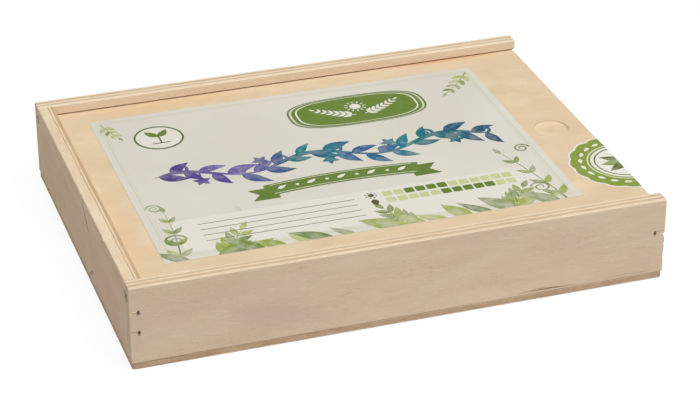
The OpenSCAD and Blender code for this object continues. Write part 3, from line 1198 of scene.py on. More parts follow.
@dataclass
class Carcass:
    """The four walls, whose plies show on every edge, with the groove that the lid slides in."""

    front: Wall = Wall("front_wall", Axis.Y, True)
    back: Wall = Wall("back_wall", Axis.Y, False)
    closed: Wall = Wall("closed_end_wall", Axis.X, True)
    opened: Wall = Wall("open_end_wall", Axis.X, False)
    front_brads: tuple[str, ...] = ("front_left_brads", "front_right_brad")
    back_brads: tuple[str, ...] = ("back_left_brads", "back_right_brad")
    edge: float = 0.6
    lip: float = 0.4
    joint: float = 0.15
    end_edge: float = 0.35
    groove_fillet: float = 0.1
    groove_depth: float = 4.5
    groove_height: float = 4.5
    housing_depth: float = 2.0
    housing_gap: float = 0.1
    overcut: float = 1.0
    brads_apart: float = 3.0
    pocket_size: Pair = (1.7, 2.9)
    pocket_depth: float = 1.1
    pocket_taper: float = 0.45
    splits: tuple[Split, ...] = (
        Split((61.0, 1.3), (97.0, 1.6), 0.42, 0.8),
        Split((112.0, 1.2), (138.0, 2.0), 0.26, 0.6),
    )
    chips: tuple[Split, ...] = (
        Split((0.2, 1.0), (0.3, 4.5), 1.1, 2.0),
        Split((0.2, 6.0), (0.1, 15.0), 1.0, 2.0),
        Split((0.1, 15.4), (0.2, 19.4), 0.9, 2.0),
        Split((0.2, 20.2), (-0.1, 23.8), 2.4, 2.6),
    )
    ply_joints: tuple[float, ...] = (2.0, 3.8, 5.6, 6.75)
    whole_length: float = 600.0
    pale: str = "EAD5BC"
    deep: str = "DDC4A8"
    blush: str = "DCC1A9"
    long_ply: str = "ECDABD"
    cross_ply: str = "D0B594"

    def groove(self) -> Pair:
        """Gives the lower and the upper height of the lid's groove."""
        low = node_box(self.opened.node)[1][2]
        return low, low + self.groove_height

    def grooved(self, wall: Wall) -> tuple[list[Pair], list[float]]:
        """Gives the section of a wall with a groove in its inner face.

        Args:
            wall: The wall.

        Returns:
            The section's corners and their radii.
        """
        outer, inner = wall.faces()
        floor = inner + math.copysign(self.groove_depth, outer - inner)
        base, top = (corner[2] for corner in node_box(wall.node))
        under, over = self.groove()
        places = [outer, inner, inner, floor, floor, inner, inner, outer]
        heights = [base, base, under, under, over, over, top, top]
        fillets = [self.joint, self.joint, self.lip, self.groove_fillet]
        return list(zip(places, heights)), [*fillets, *fillets[:1:-1], self.edge, self.edge]

    def brad_places(self, *nodes: str) -> list[Pair]:
        """Finds where brads stand in the face of a long wall.

        Args:
            nodes: The brads' nodes, each with brads above each other.

        Returns:
            The middle of each brad, as x and z.
        """
        places = []
        for node in nodes:
            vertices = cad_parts[node].data.vertices
            points = np.empty(len(vertices) * 3)
            vertices.foreach_get("co", points)
            points = points.reshape(-1, 3) / MM
            heights = np.unique(np.round(points[:, 2], 2))
            groups = np.split(heights, np.flatnonzero(np.diff(heights) > self.brads_apart) + 1)
            x = (points[:, 0].min() + points[:, 0].max()) / 2
            places += [(float(x), float((group.min() + group.max()) / 2)) for group in groups]
        return places

    def housings(self, wall: Wall) -> Surface:
        """Makes the cutters for the dividers' housings in a long wall's inner face.

        Args:
            wall: The wall.

        Returns:
            The cutters as one surface.
        """
        outer, inner = wall.faces()
        outward = math.copysign(1.0, outer - inner)
        near, far = sorted([inner - outward * self.overcut, inner + outward * self.housing_depth])
        blocks = []
        for node in Dividers.nodes:
            low, high = node_box(node)
            least = (low[0] - self.housing_gap, near, low[2] - self.overcut)
            blocks.append(block(least, (high[0] + self.housing_gap, far, high[2] + self.housing_gap)))
        return Surface.joined(blocks)

    def brad_split(self, number: int, reach: float) -> Split:
        """Gives the split that a brad made, from it to the wall's end at a distance along x."""
        rise, drop = 0.5, 0.9
        return Split((0.0, 0.2), (reach, 0.2 + (rise - number % 2 * drop)), 0.5, 0.8)

    def long_wall(self, wall: Wall, brads: Sequence[str], seed: int) -> Piece:
        """Makes a long wall with its housings, brad holes and the splits that the brads made.

        Args:
            wall: The wall.
            brads: Nodes of the brads in it.
            seed: Seed of its uneven edges and holes.

        Returns:
            The wall.
        """
        low, high = node_box(wall.node)
        outer, inner = wall.faces()
        inwards = math.copysign(1.0, inner - outer)
        places = self.brad_places(*brads)

        def on_face(cutters: Sequence[Surface]) -> Surface:
            """Moves cutters that were made for a face at y = 0 onto the wall's outer face."""
            joined = Surface.joined(cutters)
            return joined.mapped(lambda points: points * np.array([1.0, inwards, 1.0])).moved(0.0, outer, 0.0)

        past = high[0] + 0.5
        holes = [
            pocket(spot, self.pocket_size, self.pocket_depth, seed + number, self.pocket_taper)
            for number, spot in enumerate(places)
        ]
        splits = [
            self.brad_split(number, math.copysign(past, x) - x).cutter(x, z)
            for number, (x, z) in enumerate(places)
        ]
        cutters = [self.housings(wall), on_face(holes)]
        if wall is self.front:
            splits += [split.cutter(0.0, low[2]) for split in self.splits]
            cutters.append(on_face([chip.cutter(high[0], low[2]) for chip in self.chips]))
        cutters.append(on_face(splits))
        board = Board(*self.grooved(wall), low[0], high[0], Axis.X, seed, end_radius=self.end_edge)
        return board.built(wall.node + "_board", *cutters)

    def finish(self, wall: Wall, **more: float | str | tuple[float, ...] | tuple[Spot, ...]) -> Plywood:
        """Gives the plywood of one wall, with its grain along the wall.

        Args:
            wall: The wall.
            more: Values of the plywood that differ from those of the other walls.

        Returns:
            The plywood.
        """
        grain = Axis.X if wall.across is Axis.Y else Axis.Y
        look = {"pale": self.pale, "deep": self.deep, "blush": self.blush, "joints": self.ply_joints}
        look |= {"long_ply": self.long_ply, "cross_ply": self.cross_ply}
        name = f"{wall.node} plywood"
        return Plywood(name, wall.node, grain, wall.across, not wall.outer_is_low, **(look | more))

    def dark_groove(self, wall: Wall) -> tuple[Spot, ...]:
        """Gives painted shade along the lip of the lid's groove, and for a long wall painted shade in the
        dark end of the groove.

        Args:
            wall: The wall.

        Returns:
            One spot or two.
        """
        outer, inner = wall.faces()
        under, over = self.groove()
        number = wall.across.value
        reach, centre = [0.9, 0.9, 0.55], [0.0, 0.0, over]
        reach[1 - number] = self.whole_length
        centre[number] = inner
        # Painted shade: a dark line along the groove's upper lip, where the lid meets the wall.
        lip = Spot(tuple(centre), tuple(reach), "5E2C10", 0.9, unevenness=0.7)
        if wall.across is Axis.X:
            return (lip,)
        deep = inner + math.copysign(self.groove_depth / 2, outer - inner)
        mouth = (node_box(wall.node)[0][0] + 3.5, deep, over - self.groove_height / 2)
        # Painted shade inside the open end of the groove of a long wall.
        return lip, Spot(mouth, (4.5, 6.0, 6.0), "2A1810", 0.95, unevenness=0.3)

    def bruises(self, wall: Wall, brads: Sequence[str]) -> tuple[Spot, ...]:
        """Gives the dark bruises round the brads of a long wall, just below their middles."""
        y, below = wall.faces()[0], 0.3
        return tuple(
            Spot((x, y, z - below), (1.3, 2.0, 2.1), "4E3220", 0.75, unevenness=0.9)
            for x, z in self.brad_places(*brads)
        )

    def build_front(self) -> None:
        """Builds and dresses the front wall, with the marks that the photograph shows on it."""
        y = self.front.faces()[0]
        marks = (
            Spot((30.0, y, 24.0), (46.0, 3.0, 5.5), "EBD8C2", 0.35, (0.0, 0.35, 0.0), 0.5),
            Spot((-70.0, y, 18.0), (34.0, 3.0, 10.0), "CDB3A4", 0.28, (0.0, -0.2, 0.0), 0.7),
            Spot((-143.6, y, 32.9), (3.0, 2.0, 0.6), "FFF0B4", 1.0, (0.0, 0.36, 0.0), 0.2),
        )
        # Painted shade darkening the split along the foot of the wall.
        crack_shade = Spot((77.0, y, 5.4), (17.0, 2.0, 0.5), "7A4E2E", 0.7, (0.0, -0.01, 0.0), 0.7)
        # A pale sliver above the split, partly a painted highlight along its upper edge.
        sliver_highlight = Spot((66.0, y, 6.2), (6.5, 2.0, 0.5), "FFE8AC", 0.75, (0.0, -0.04, 0.0), 0.4)
        bruises = self.bruises(self.front, self.front_brads)
        spots = (*bruises, *marks, crack_shade, sliver_highlight, *self.dark_groove(self.front))
        piece = self.long_wall(self.front, self.front_brads, seed=11)
        install(piece, Body.BOX, Slot.WALL, self.finish(self.front, spots=spots), self.front.node)

    def build_back(self) -> None:
        """Builds and dresses the back wall, in paler plywood that paints the light which the lid bounces onto
        it.
        """
        # Painted light: paler colours stand in for the light that the lid bounces onto the wall's inner face.
        light = {"pale": "F8E8D0", "deep": "EED8BA", "blush": "F0D4B8"}
        spots = self.bruises(self.back, self.back_brads) + self.dark_groove(self.back)
        piece = self.long_wall(self.back, self.back_brads, seed=23)
        install(piece, Body.BOX, Slot.WALL, self.finish(self.back, spots=spots, **light), self.back.node)

    def build_closed_end(self) -> None:
        """Builds and dresses the closed end wall, with its dark streak, its scars and its pale splinter."""
        low, high = node_box(self.closed.node)
        streak = Spot((low[0], -13.5, 39.5), (2.0, 14.0, 1.0), "5C2A14", 0.75, (-0.85, 0.0, 0.0), 1.1)
        tail = Spot((low[0], -18.4, 34.4), (2.0, 5.0, 1.0), "521E10", 0.85, (-0.98, 0.0, 0.0), 0.8)
        scar = Spot((low[0], -24.0, 9.0), (2.0, 6.5, 1.6), "8A5444", 0.75, (0.66, 0.0, 0.0), 1.3)
        nick = Spot((low[0], 66.0, 9.0), (2.0, 3.0, 0.8), "8A5444", 0.7, (-0.8, 0.0, 0.0), 1.2)
        splinter = Spot((low[0], -57.0, high[2]), (1.2, 4.0, 1.2), "F6EAD2", 0.9, unevenness=0.3)
        finish = self.finish(
            self.closed, joints=(5.4, 5.9, 7.0, 8.9), waves=0.8, glue=0.15,
            spots=(streak, tail, scar, nick, splinter, *self.dark_groove(self.closed)),
            pale="EAD1B2", deep="DCC09C", blush="E2BCA2", cross_ply="C6A478",
        )
        board = Board(*self.grooved(self.closed), low[1], high[1], Axis.Y, seed=37, end_radius=self.joint)
        install(board.built(f"{self.closed.node}_board"), Body.BOX, Slot.WALL, finish, self.closed.node)

    def build_open_end(self) -> None:
        """Builds and dresses the low end wall."""
        low, high = node_box(self.opened.node)
        corners = rectangle(low[[0, 2]], high[[0, 2]])
        radii = [self.joint, self.joint, self.edge, self.edge]
        board = Board(corners, radii, low[1], high[1], Axis.Y, seed=41, end_radius=self.joint)
        piece = board.built(f"{self.opened.node}_board")
        install(piece, Body.BOX, Slot.WALL, self.finish(self.opened), self.opened.node)

    def build(self) -> None:
        """Builds and dresses the walls."""
        self.build_front()
        self.build_back()
        self.build_closed_end()
        self.build_open_end()


@dataclass
class Base:
    """The thin bottom panel under the walls, with rounded corners and brads from below."""

    node: str = "bottom_panel"
    corner: float = 1.5
    edge: float = 0.3
    hole: float = 0.9
    head: Pair = (1.4, 2.8)
    long_pitch: float = 92.0
    end_pitch: float = 110.0
    whole_length: float = 600.0

    def brad_places(self) -> list[tuple[float, float, bool]]:
        """Gives where the bottom brads stand, under the middle of each wall.

        Returns:
            For each brad its x and y, and whether its head lies along y.
        """
        y = sum(corner[1] for corner in node_box("front_wall")) / 2
        walls = ("closed_end_wall", "open_end_wall")
        ends = [sum(corner[0] for corner in node_box(wall)) / 2 for wall in walls]
        sides = (-1, 1)
        long_side = [(step * self.long_pitch, side * y, True) for side in sides for step in (-1, 0, 1)]
        return long_side + [(x, side * self.end_pitch / 2, False) for x in ends for side in sides]

    def seams(self, low: Array, high: Array) -> tuple[Spot, ...]:
        """Gives the dark line where the walls sit on the panel, a glue line with painted joint shade, on its
        long sides and then on its ends.

        Args:
            low: The panel's lowest corner.
            high: Its highest corner.

        Returns:
            Four spots.
        """
        long_reach, end_reach = (self.whole_length, 0.9, 0.5), (0.9, self.whole_length, 0.5)
        sides = [((0.0, corner[1], high[2]), long_reach) for corner in (low, high)]
        sides += [((corner[0], 0.0, high[2]), end_reach) for corner in (low, high)]
        # Glue line and painted shade in the joint between the panel and the walls.
        return tuple(Spot(centre, reach, "6E5040", 0.7, unevenness=0.9) for centre, reach in sides)

    def build(self) -> None:
        """Builds and dresses the panel."""
        low, high = node_box(self.node)
        holes = [
            pocket((x, y), self.head if along_y else self.head[::-1], self.hole, seed=60 + number)
            for number, (x, y, along_y) in enumerate(self.brad_places())
        ]
        from_below = Surface.joined(holes).mapped(lambda points: points[:, [0, 2, 1]])
        board = Board(
            rectangle(low, high), [self.corner] * 4, low[2], high[2], Axis.Z, seed=53,
            end_radius=self.edge, spacing=1.5, unevenness=0.02,
        )
        finish = Plywood(
            "bottom plywood", self.node, Axis.X, Axis.Z, False, (0.9, 3.1, 9.0, 9.5),
            pale="E3CBAD", deep="B69678", blush="D2B79D", long_ply="E6D0B4", cross_ply="D8BC9E",
            waves=0.7, fibre=1.9, mottle=1.5, dashes=1.0, spots=self.seams(low, high),
        )
        install(board.built("bottom_board", from_below), Body.BOX, Slot.BOTTOM, finish, self.node)


@dataclass
class Dividers:
    """The two thin dividers between the bays."""

    nodes: tuple[str, ...] = ("left_divider", "right_divider")
    foot: float = 0.1
    edge: float = 0.45

    def build(self) -> None:
        """Builds and dresses the dividers."""
        for number, node in enumerate(self.nodes):
            low, high = node_box(node)
            corners = rectangle(low[[0, 2]], high[[0, 2]])
            radii = [self.foot, self.foot, self.edge, self.edge]
            board = Board(corners, radii, low[1], high[1], Axis.Y, seed=71 + number, end_radius=self.foot)
            finish = Plywood(
                f"{node} plywood", node, Axis.Y, Axis.X, False, (0.9, 2.1, 9.0, 9.5), waves=0.4,
                pale="ECD6B4", deep="DFC49C", blush="E0C8AC", long_ply="EBD7B4", cross_ply="C9A884",
            )
            install(board.built(node + "_board"), Body.BOX, Slot.DIVIDER, finish, node)


@dataclass
class Lid:
    """The sliding lid: a thin board with cut leading corners and a shallow round finger recess."""

    node: str = "lid_panel"
    corner_cut: float = 3.0
    corner: float = 0.4
    edge: float = 0.35
    recess_radius: float = 9.5
    recess_rim: float = 1.0
    recess_dish: float = 0.5
    recess_from_end: float = 18.8
    recess_offset: float = -2.5

    def recess(self, end: float, top: float) -> Surface:
        """Makes the cutter of the recess by turning its half section.

        The floor lies rim + dish (1 - s^2) below the top at the share s of the radius, and the wall leans out
        a little at the top.

        Args:
            end: Place of the lid's open end along x.
            top: Height of the lid's top.

        Returns:
            The cutter.
        """
        middle, foot, above, columns = 0.1, 0.25, 1.0, 96
        share = np.linspace(middle, 0.96, 9)
        floor = -self.recess_rim - self.recess_dish * (1 - share**2)
        lean = np.array([[1.0, -self.recess_rim + foot], [1.005, -0.2], [1.02, 0.0], [1.02, above]])
        profile = np.concatenate([np.stack([share, floor], axis=1), lean])
        angle = np.linspace(0, TURN, columns + 1)[:-1]
        reach = self.recess_radius * profile[:, 0]
        across = reach[:, None] * np.cos(angle) + end - self.recess_from_end
        along = reach[:, None] * np.sin(angle) + self.recess_offset
        height = np.broadcast_to(profile[:, 1:] + top, across.shape)
        return Surface.tube(np.stack([across, along, height], axis=-1))

    def build(self) -> None:
        """Builds and dresses the lid, with the painted shade of a pinhole and with the warm tints towards its
        edges.
        """
        low, high = node_box(self.node)
        cut_off = self.corner_cut
        corners = [
            (low[0] + cut_off, low[1]), (high[0], low[1]), (high[0], high[1]),
            (low[0] + cut_off, high[1]), (low[0], high[1] - cut_off), (low[0], low[1] + cut_off),
        ]
        board = Board(
            corners, [self.corner] * len(corners), low[2], high[2], Axis.Z, seed=83,
            end_radius=self.edge, spacing=2.0, unevenness=0.1,
        )
        # Painted shade: a small dark dot stands for a pinhole that the mesh does not have.
        pinhole_shade = Spot((130.3, 52.8, high[2]), (0.5, 0.5, 2.0), "6A4A34", 0.75, unevenness=0.2)
        warm = Spot((-70.0, 95.0, high[2]), (60.0, 9.0, 3.0), "E2BD8C", 0.4, unevenness=0.8)
        warm_left = Spot((-130.0, -40.0, high[2]), (8.0, 60.0, 3.0), "E0BC8E", 0.3, unevenness=0.8)
        warm_right = Spot((96.0, 100.5, high[2]), (52.0, 3.6, 3.0), "DE9C70", 0.5, unevenness=0.7)
        finish = Plywood(
            "lid plywood", self.node, Axis.X, Axis.Z, True, (1.6, 3.0, 9.0, 9.5),
            pale="E5D0AF", deep="DAC19C", blush="DEC3A2", long_ply="E8D3B0", cross_ply="C9A884",
            figure=0.3, fibre=0.6, mottle=2.2, flecks=0.12, dashes=0.08, waves=0.3,
            spots=(pinhole_shade, warm, warm_left, warm_right),
        )
        piece = board.built("lid_board", self.recess(high[0], high[2]))
        install(piece, Body.LID, Slot.LID, finish, self.node)


# Printed art


def directions(degrees: float) -> tuple[Array, Array]:
    """Gives the unit vector (cos a, sin a) at an angle in degrees, and the one to its left."""
    angle = math.radians(degrees)
    return np.array([math.cos(angle), math.sin(angle)]), np.array([-math.sin(angle), math.cos(angle)])


def bent_path(base: Point, heading: float, length: float, bend: float, share: Array) -> Array:
    """Gives places on a line that bends left by bend times its length times the share of it squared."""
    ahead, left = directions(heading)
    return np.array(base) + length * (share[:, None] * ahead + bend * share[:, None] ** 2 * left)


def stroke(path: Array, width: float | Array) -> Surface:
    """Draws a flat line of changing width along a path.

    The two edges are the path plus and minus half the width times the direction square to it.

    Args:
        path: Points of the path, as x and y.
        width: Width at all points or at each.

    Returns:
        A flat surface with the value across, from -1 at its one edge to 1 at the other.
    """
    course = np.gradient(path, axis=0)
    course /= np.linalg.norm(course, axis=1, keepdims=True)
    side = np.stack([-course[:, 1], course[:, 0]], axis=1)
    across = np.array([-1.0, 0.0, 1.0])
    half = np.broadcast_to(width, len(path))[:, None, None] / 2
    flat = path[:, None] + half * across[None, :, None] * side[:, None]
    return Surface.sheet(raised(flat), across=np.tile(across, len(path)))


def rule(start: float, stop: float, y: float, width: float) -> Surface:
    """Draws a level line from one x to another."""
    return stroke(np.array([[start, y], [(start + stop) / 2, y], [stop, y]]), width)


def rays(centre: Point, reach: Point, count: int, width: float, first: float = 0.0) -> list[Surface]:
    """Draws rays round a place, through given distances from it, the first one at an angle in degrees."""
    out = np.array(reach)[:, None]
    return [
        stroke(np.array(centre) + directions(360 / count * number + first)[0] * out, width)
        for number in range(count)
    ]


def polar(
    radius: Callable[[Array], Array], rings: Sequence[float], columns: int, centre: Point
) -> Surface:
    """Fills an outline that is given as a radius for each angle, with rings that shrink towards its middle.

    A point is (share r cos a, share r sin a), for the share of each ring and the radius r at the angle a.

    Args:
        radius: Radius of the outline at each of many angles.
        rings: Shares of the radius, rising. A first share above 0 leaves a hole.
        columns: Points in a ring.
        centre: Middle of the outline.

    Returns:
        A flat surface.
    """
    angle = np.arange(columns) * TURN / columns
    reach = radius(angle)
    shares = np.array([share for share in rings if share > 0])[:, None]
    flat = np.stack([shares * reach * np.cos(angle), shares * reach * np.sin(angle)], axis=-1)
    filled = Surface.sheet(raised(flat + np.array(centre)), closed=True)
    filled.polygons = [] if rings[0] > 0 else [np.arange(columns)]
    return filled


def disc(centre: Point, radius: float, hole: float = 0.0, columns: int = 48) -> Surface:
    """Draws a disc or, with a hole, a ring."""
    return polar(lambda angle: np.full_like(angle, radius), (hole / radius, 1.0), columns, centre)


def patch(low: Point, high: Point, radius: float) -> Surface:
    """Draws a rectangle with rounded corners."""
    outline = rounded_outline(rectangle(low, high), [radius] * 4, 6)[0]
    return Surface(raised(outline), polygons=[np.arange(len(outline))])


def frame_line(half: Point, radius: float, width: float) -> Surface:
    """Draws a line inside the edge of a rectangle with rounded corners, from half the sides of that."""
    edges = []
    for gap in (0.0, width):
        corner = np.array(half) - gap
        edges.append(rounded_outline(rectangle(-corner, corner), [radius - gap] * 4, 6)[0])
    return Surface.sheet(raised(np.stack(edges)), closed=True)


def leaf(base: Point, heading: float, length: float, width: float, bend: float = 0.0) -> Surface:
    """Draws a leaf.

    Its width at the share s of its length is width times sin(pi s^0.8).

    Args:
        base: Where it starts.
        heading: Its direction in degrees.
        length: Its length.
        width: Its greatest width.
        bend: How far it bends to the left, as a share of its length.

    Returns:
        A flat surface.
    """
    share = np.linspace(0, 1, 15)
    bluntness, thinnest = 0.8, 0.04
    fullness = np.maximum(np.sin(math.pi * share**bluntness), thinnest)
    return stroke(bent_path(base, heading, length, bend, share), width * fullness)


def curl(start: Point, heading: float, size: float, turns: float, hand: int, width: float) -> Surface:
    """Draws a tendril that winds inwards.

    Its radius falls from size to a fifth of it in proportion to the angle that it has turned.

    Args:
        start: Where it starts.
        heading: Its direction there in degrees.
        size: Radius of its first turn.
        turns: How often it goes round.
        hand: 1 if it winds to the left, -1 to the right.
        width: Its width at the start, which halves towards its end.

    Returns:
        A flat surface.
    """
    share = np.linspace(0, 1, 48)
    centre = np.array(start) + hand * size * directions(heading)[1]
    radius = size * (1 - 0.8 * share)
    angle = math.radians(heading) - hand * math.pi / 2 + hand * share * turns * TURN
    path = centre + radius[:, None] * np.stack([np.cos(angle), np.sin(angle)], axis=1)
    return stroke(path, width * (1 - 0.5 * share))


def blossom(centre: Point, size: float, petals: int, turn: float) -> list[Surface]:
    """Draws a flower of separate petals round its middle."""
    fullness = 0.55
    return [leaf(centre, turn + 360 * petal / petals, size, size * fullness) for petal in range(petals)]


def sprig(
    base: Point, heading: float, length: float, pairs: int, size: float, bend: float = 0.0
) -> list[Surface]:
    """Draws a stem with pairs of leaves that shrink towards its end leaf.

    A leaf at the share s of the stem stands 48 degrees off the stem's direction there, which is the heading
    plus the arc whose tangent is 2 bend s.

    Args:
        base: Where it starts.
        heading: Its direction in degrees.
        length: Its length.
        pairs: Number of pairs of leaves.
        size: Length of the largest leaves.
        bend: How far the stem bends to the left, as a share of its length.

    Returns:
        Flat surfaces, the stem first.
    """
    spread, shrinking, slimness, droop = 48, 0.45, 0.4, -0.15
    stem_width, end_size, end_width = 0.075, 0.6, 0.24
    share = np.linspace(0, 1, 24)
    path = bent_path(base, heading, length, bend, share)
    drawn = [stroke(path, size * stem_width * (1.2 - share))]
    for pair in range(pairs):
        along = (pair + 0.7) / (pairs + 0.6)
        spot = bent_path(base, heading, length, bend, np.array([along]))[0]
        direction = heading + math.degrees(math.atan(2 * bend * along))
        reach = size * (1 - shrinking * along)
        drawn += [
            leaf(spot, direction + side * spread, reach, reach * slimness, side * droop) for side in (-1, 1)
        ]
    tip_heading = heading + math.degrees(math.atan(2 * bend))
    return [*drawn, leaf(path[-1], tip_heading, size * end_size, size * end_width)]


@dataclass
class Layer:
    """What one ink prints: flat surfaces at rising levels."""

    name: str
    ink: Finish
    level: float
    rise: float = 0.0
    drawn: list[Surface] = field(default_factory=list)

    def add(self, *surfaces: Surface, tone: float | Array = 0.5) -> None:
        """Adds surfaces, each a little higher than the one before, with a tone."""
        for surface in surfaces:
            level = self.level + self.rise * len(self.drawn)
            self.drawn.append(surface.valued(tone=tone).moved(0.0, 0.0, level))

    def surface(self) -> Surface:
        """Puts all that the layer prints into one surface."""
        return Surface.joined([part.valued(across=part.values.get("across", 1.0)) for part in self.drawn])


class LabelInks:
    """The label's inks as layers, from the lowest to the highest."""

    def __init__(self) -> None:
        """Mixes the inks, and sets the height of each over the paper."""
        washes = ("CCCFB8", "C3C8A6", "BABFA4")
        leaves = ("C4C890", "A4AE54", "869838", "5C762A", "A6AC84")
        blues = ("46347A", "523E8A", "6A5E9E", "1E4A78", "08767C", "26568A", "06797A", "0C6070", "1A4468")
        greens = ("5A7220", "66802A", "506A1E")
        vine = Ink("vine inks", blues, thinness=0.22, body=0.72, rim=0.4, unevenness=1.1, vein=0.3)
        green = Ink("green ink", greens, thinness=0.06, body=0.6, rim=0.2, unevenness=0.5)
        olive = Ink("olive ink", ("4A4F24", "666B3E"), thinness=0.2)
        self.foliage = Layer("label_foliage", Ink("pale leaf inks", washes, 0.4, 0.7, vein=0.3), 0.01, 0.0005)
        self.ground = Layer("label_ground", Ink("pale ink", ("DFDBD0",), shine=0.3), 0.045)
        self.leaves = Layer("label_leaves", Ink("leaf inks", leaves, 0.5, 0.6, 0.4, vein=0.5), 0.05, 0.0006)
        self.vine = Layer("label_vine", vine, 0.115, 0.0004)
        self.green = Layer("label_green", green, 0.145, 0.0004)
        self.olive = Layer("label_lines", olive, 0.168, 0.0002)
        self.cream = Layer("label_cream", Ink("cream ink", ("E6E3D8",), shine=0.3), 0.18, 0.0002)

    def layers(self) -> list[Layer]:
        """Gives all layers."""
        return list(vars(self).values())


@dataclass
class Label:
    """The paper label on the lid, with a garden design in plain shapes and a blank sowing chart.

    The design is drawn from the label's middle, x along the box and y towards its back.
    """

    node: str = "lid_label"
    half_length: float = 114.5
    half_width: float = 84.0
    trim: float = 0.25
    print_depth: float = 0.12
    seed: int = 7
    ring_centre: Pair = (-82.0, 53.0)
    plaque_centre: Pair = (34.0, 52.0)
    ribbon_centre: Pair = (0.0, -26.0)

    def draw_border(self, inks: LabelInks) -> None:
        """Draws a thin double border in sage green.

        Args:
            inks: The inks.
        """
        corner_radius, sage = 3.0, 0.33
        for gap, width in ((4.0, 0.55), (5.6, 0.25)):
            line = frame_line((self.half_length - gap, self.half_width - gap), corner_radius, width)
            inks.foliage.add(line, tone=sage)

    def draw_ring(self, inks: LabelInks) -> None:
        """Draws a seedling in a ring.

        Args:
            inks: The inks.
        """
        outside, inside, field_radius = 14.0, 12.9, 13.4
        x, foot = self.ring_centre[0], self.ring_centre[1] - 6.5
        inks.green.add(disc(self.ring_centre, outside, inside), tone=1.0)
        inks.ground.add(disc(self.ring_centre, field_radius))
        inks.olive.add(stroke(np.array([(x, foot), (x + 0.3, foot + 4), (x, foot + 9)]), 0.9), tone=0.0)
        for side in (1, -1):
            inks.green.add(leaf((x, foot + 8), 90 - side * 52, 9.5, 4.6, side * 0.22), tone=0.3)
        inks.olive.add(rule(x - 5, x + 5, foot, 0.7), tone=0.0)

    def draw_plaque(self, inks: LabelInks) -> None:
        """Draws a green plaque with a laurel and a sun in cream.

        Its outline is |x / a|^3 + |y / b|^3 = 1.

        Args:
            inks: The inks.
        """
        half, power, columns = (38.0, 17.0), 3, 160
        x, y = self.plaque_centre

        def reach(angle: Array) -> Array:
            """Gives the outline's radius at each angle."""
            across, along = np.abs(np.cos(angle) / half[0]), np.abs(np.sin(angle) / half[1])
            return (across**power + along**power) ** (-1 / power)

        inks.green.add(polar(reach, (1.035, 1.065), columns, (x, y)), tone=0.0)
        inks.green.add(polar(reach, (0.0, 1.0), columns, (x, y)), tone=0.35)
        inks.cream.add(polar(reach, (0.915, 0.94), columns, (x, y)))
        for side in (-1, 1):
            inks.cream.add(*sprig((x + side * 2.5, y - 6.5), 90 - side * 70, 24.0, 6, 6.2, side * 0.16))
        sun = (x, y + 3.5)
        inks.cream.add(disc(sun, 3.2), *rays(sun, (4.2, 5.2, 6.4), 12, 0.7))

    def draw_vine(self, inks: LabelInks) -> None:
        """Draws a flowering vine across the label, as with a wide brush.

        Its stem is y = 3 + rise sin(a) for the angle a over its turns, and its tone follows x from violet to
        teal and blue.

        Args:
            inks: The inks.
        """
        random = np.random.default_rng(self.seed)
        half, turns, rise, steps, leaves = 96.0, 2.5, 6.5, 240, 27
        share = np.linspace(0, 1, steps)
        phase = share * turns * TURN + 0.6
        path = np.stack([(2 * share - 1) * half, 3 + rise * np.sin(phase)], axis=1)
        slope = np.degrees(np.arctan(np.gradient(path[:, 1]) / np.gradient(path[:, 0])))
        ends = np.clip(np.minimum(share, 1 - share) * 16, 0.1, 1)
        drawn = [stroke(path, ends * (1.4 + 2.2 * np.sin(phase / 2 + 0.9) ** 2))]
        for number in range(leaves):
            place = int((0.015 + 0.97 * number / (leaves - 1)) * (steps - 1))
            spot, lean = path[place], slope[place]
            side = 1 if number % 2 else -1
            length = 13.5 + 5.0 * random.random()
            heading = lean + side * (44 + 16 * random.random())
            width = length * (0.38 + 0.08 * random.random())
            drawn.append(leaf(spot, heading, length, width, side * -0.28))
            if number % 4 == 2:
                drawn.append(curl(spot, lean - side * 36, 4.6, 1.3, -side, 2.0))
            if number % 5 == 3:
                tip = spot + 10.5 * directions(lean - side * 70)[0]
                drawn.append(stroke(np.linspace(spot, tip, 8), 1.1))
                drawn += blossom(tip, 5.2, 5, 72 * random.random())
        for part in drawn:
            shift = 0.14 * (random.random() - 0.5)
            inks.vine.add(part, tone=np.clip(part.points[:, 0] / (2 * half) + 0.5 + shift, 0, 1))

    def draw_ribbon(self, inks: LabelInks) -> None:
        """Draws an arched ribbon with notched ends, with lines, leaves and dots on it.

        Its middle line is y = rise (1 - (x / half)^2).

        Args:
            inks: The inks.
        """
        half, width, rise, notch, margin, pitch = 43.0, 12.0, 3.2, 5.0, 1.3, 8.5
        x, y = self.ribbon_centre

        def arch(across: Array) -> Array:
            """Gives the middle line's places for places across the ribbon."""
            return np.stack([x + across, y + rise * (1 - (across / half) ** 2)], axis=-1)

        for side in (-1, 1):
            inner, outer = x + side * (half - 5), x + side * (half + 10)
            low, middle, high = (y - rise + step * width / 2 for step in (-1, 0, 1))
            plan = [(inner, low), (outer, low), (outer - side * notch, middle), (outer, high), (inner, high)]
            triangles = [np.array(corners) for corners in ((0, 1, 2), (0, 2, 4), (2, 3, 4))]
            inks.green.add(Surface(raised(np.array(plan)), polygons=triangles), tone=0.8)
        path = arch(np.linspace(-half, half, 60))
        inks.green.add(stroke(path, width).valued(across=0.6), tone=0.2)
        for side in (-1, 1):
            inks.cream.add(stroke(path[2:-2] + np.array([0, side * (width / 2 - margin)]), 0.4))
        for step in range(-4, 5):
            spot = arch(np.array(step * pitch))
            if step % 2:
                inks.cream.add(disc(spot, 1.0, columns=20))
            else:
                inks.cream.add(leaf(spot - np.array([3, 1]), 25, 6.5, 2.6, 0.1))

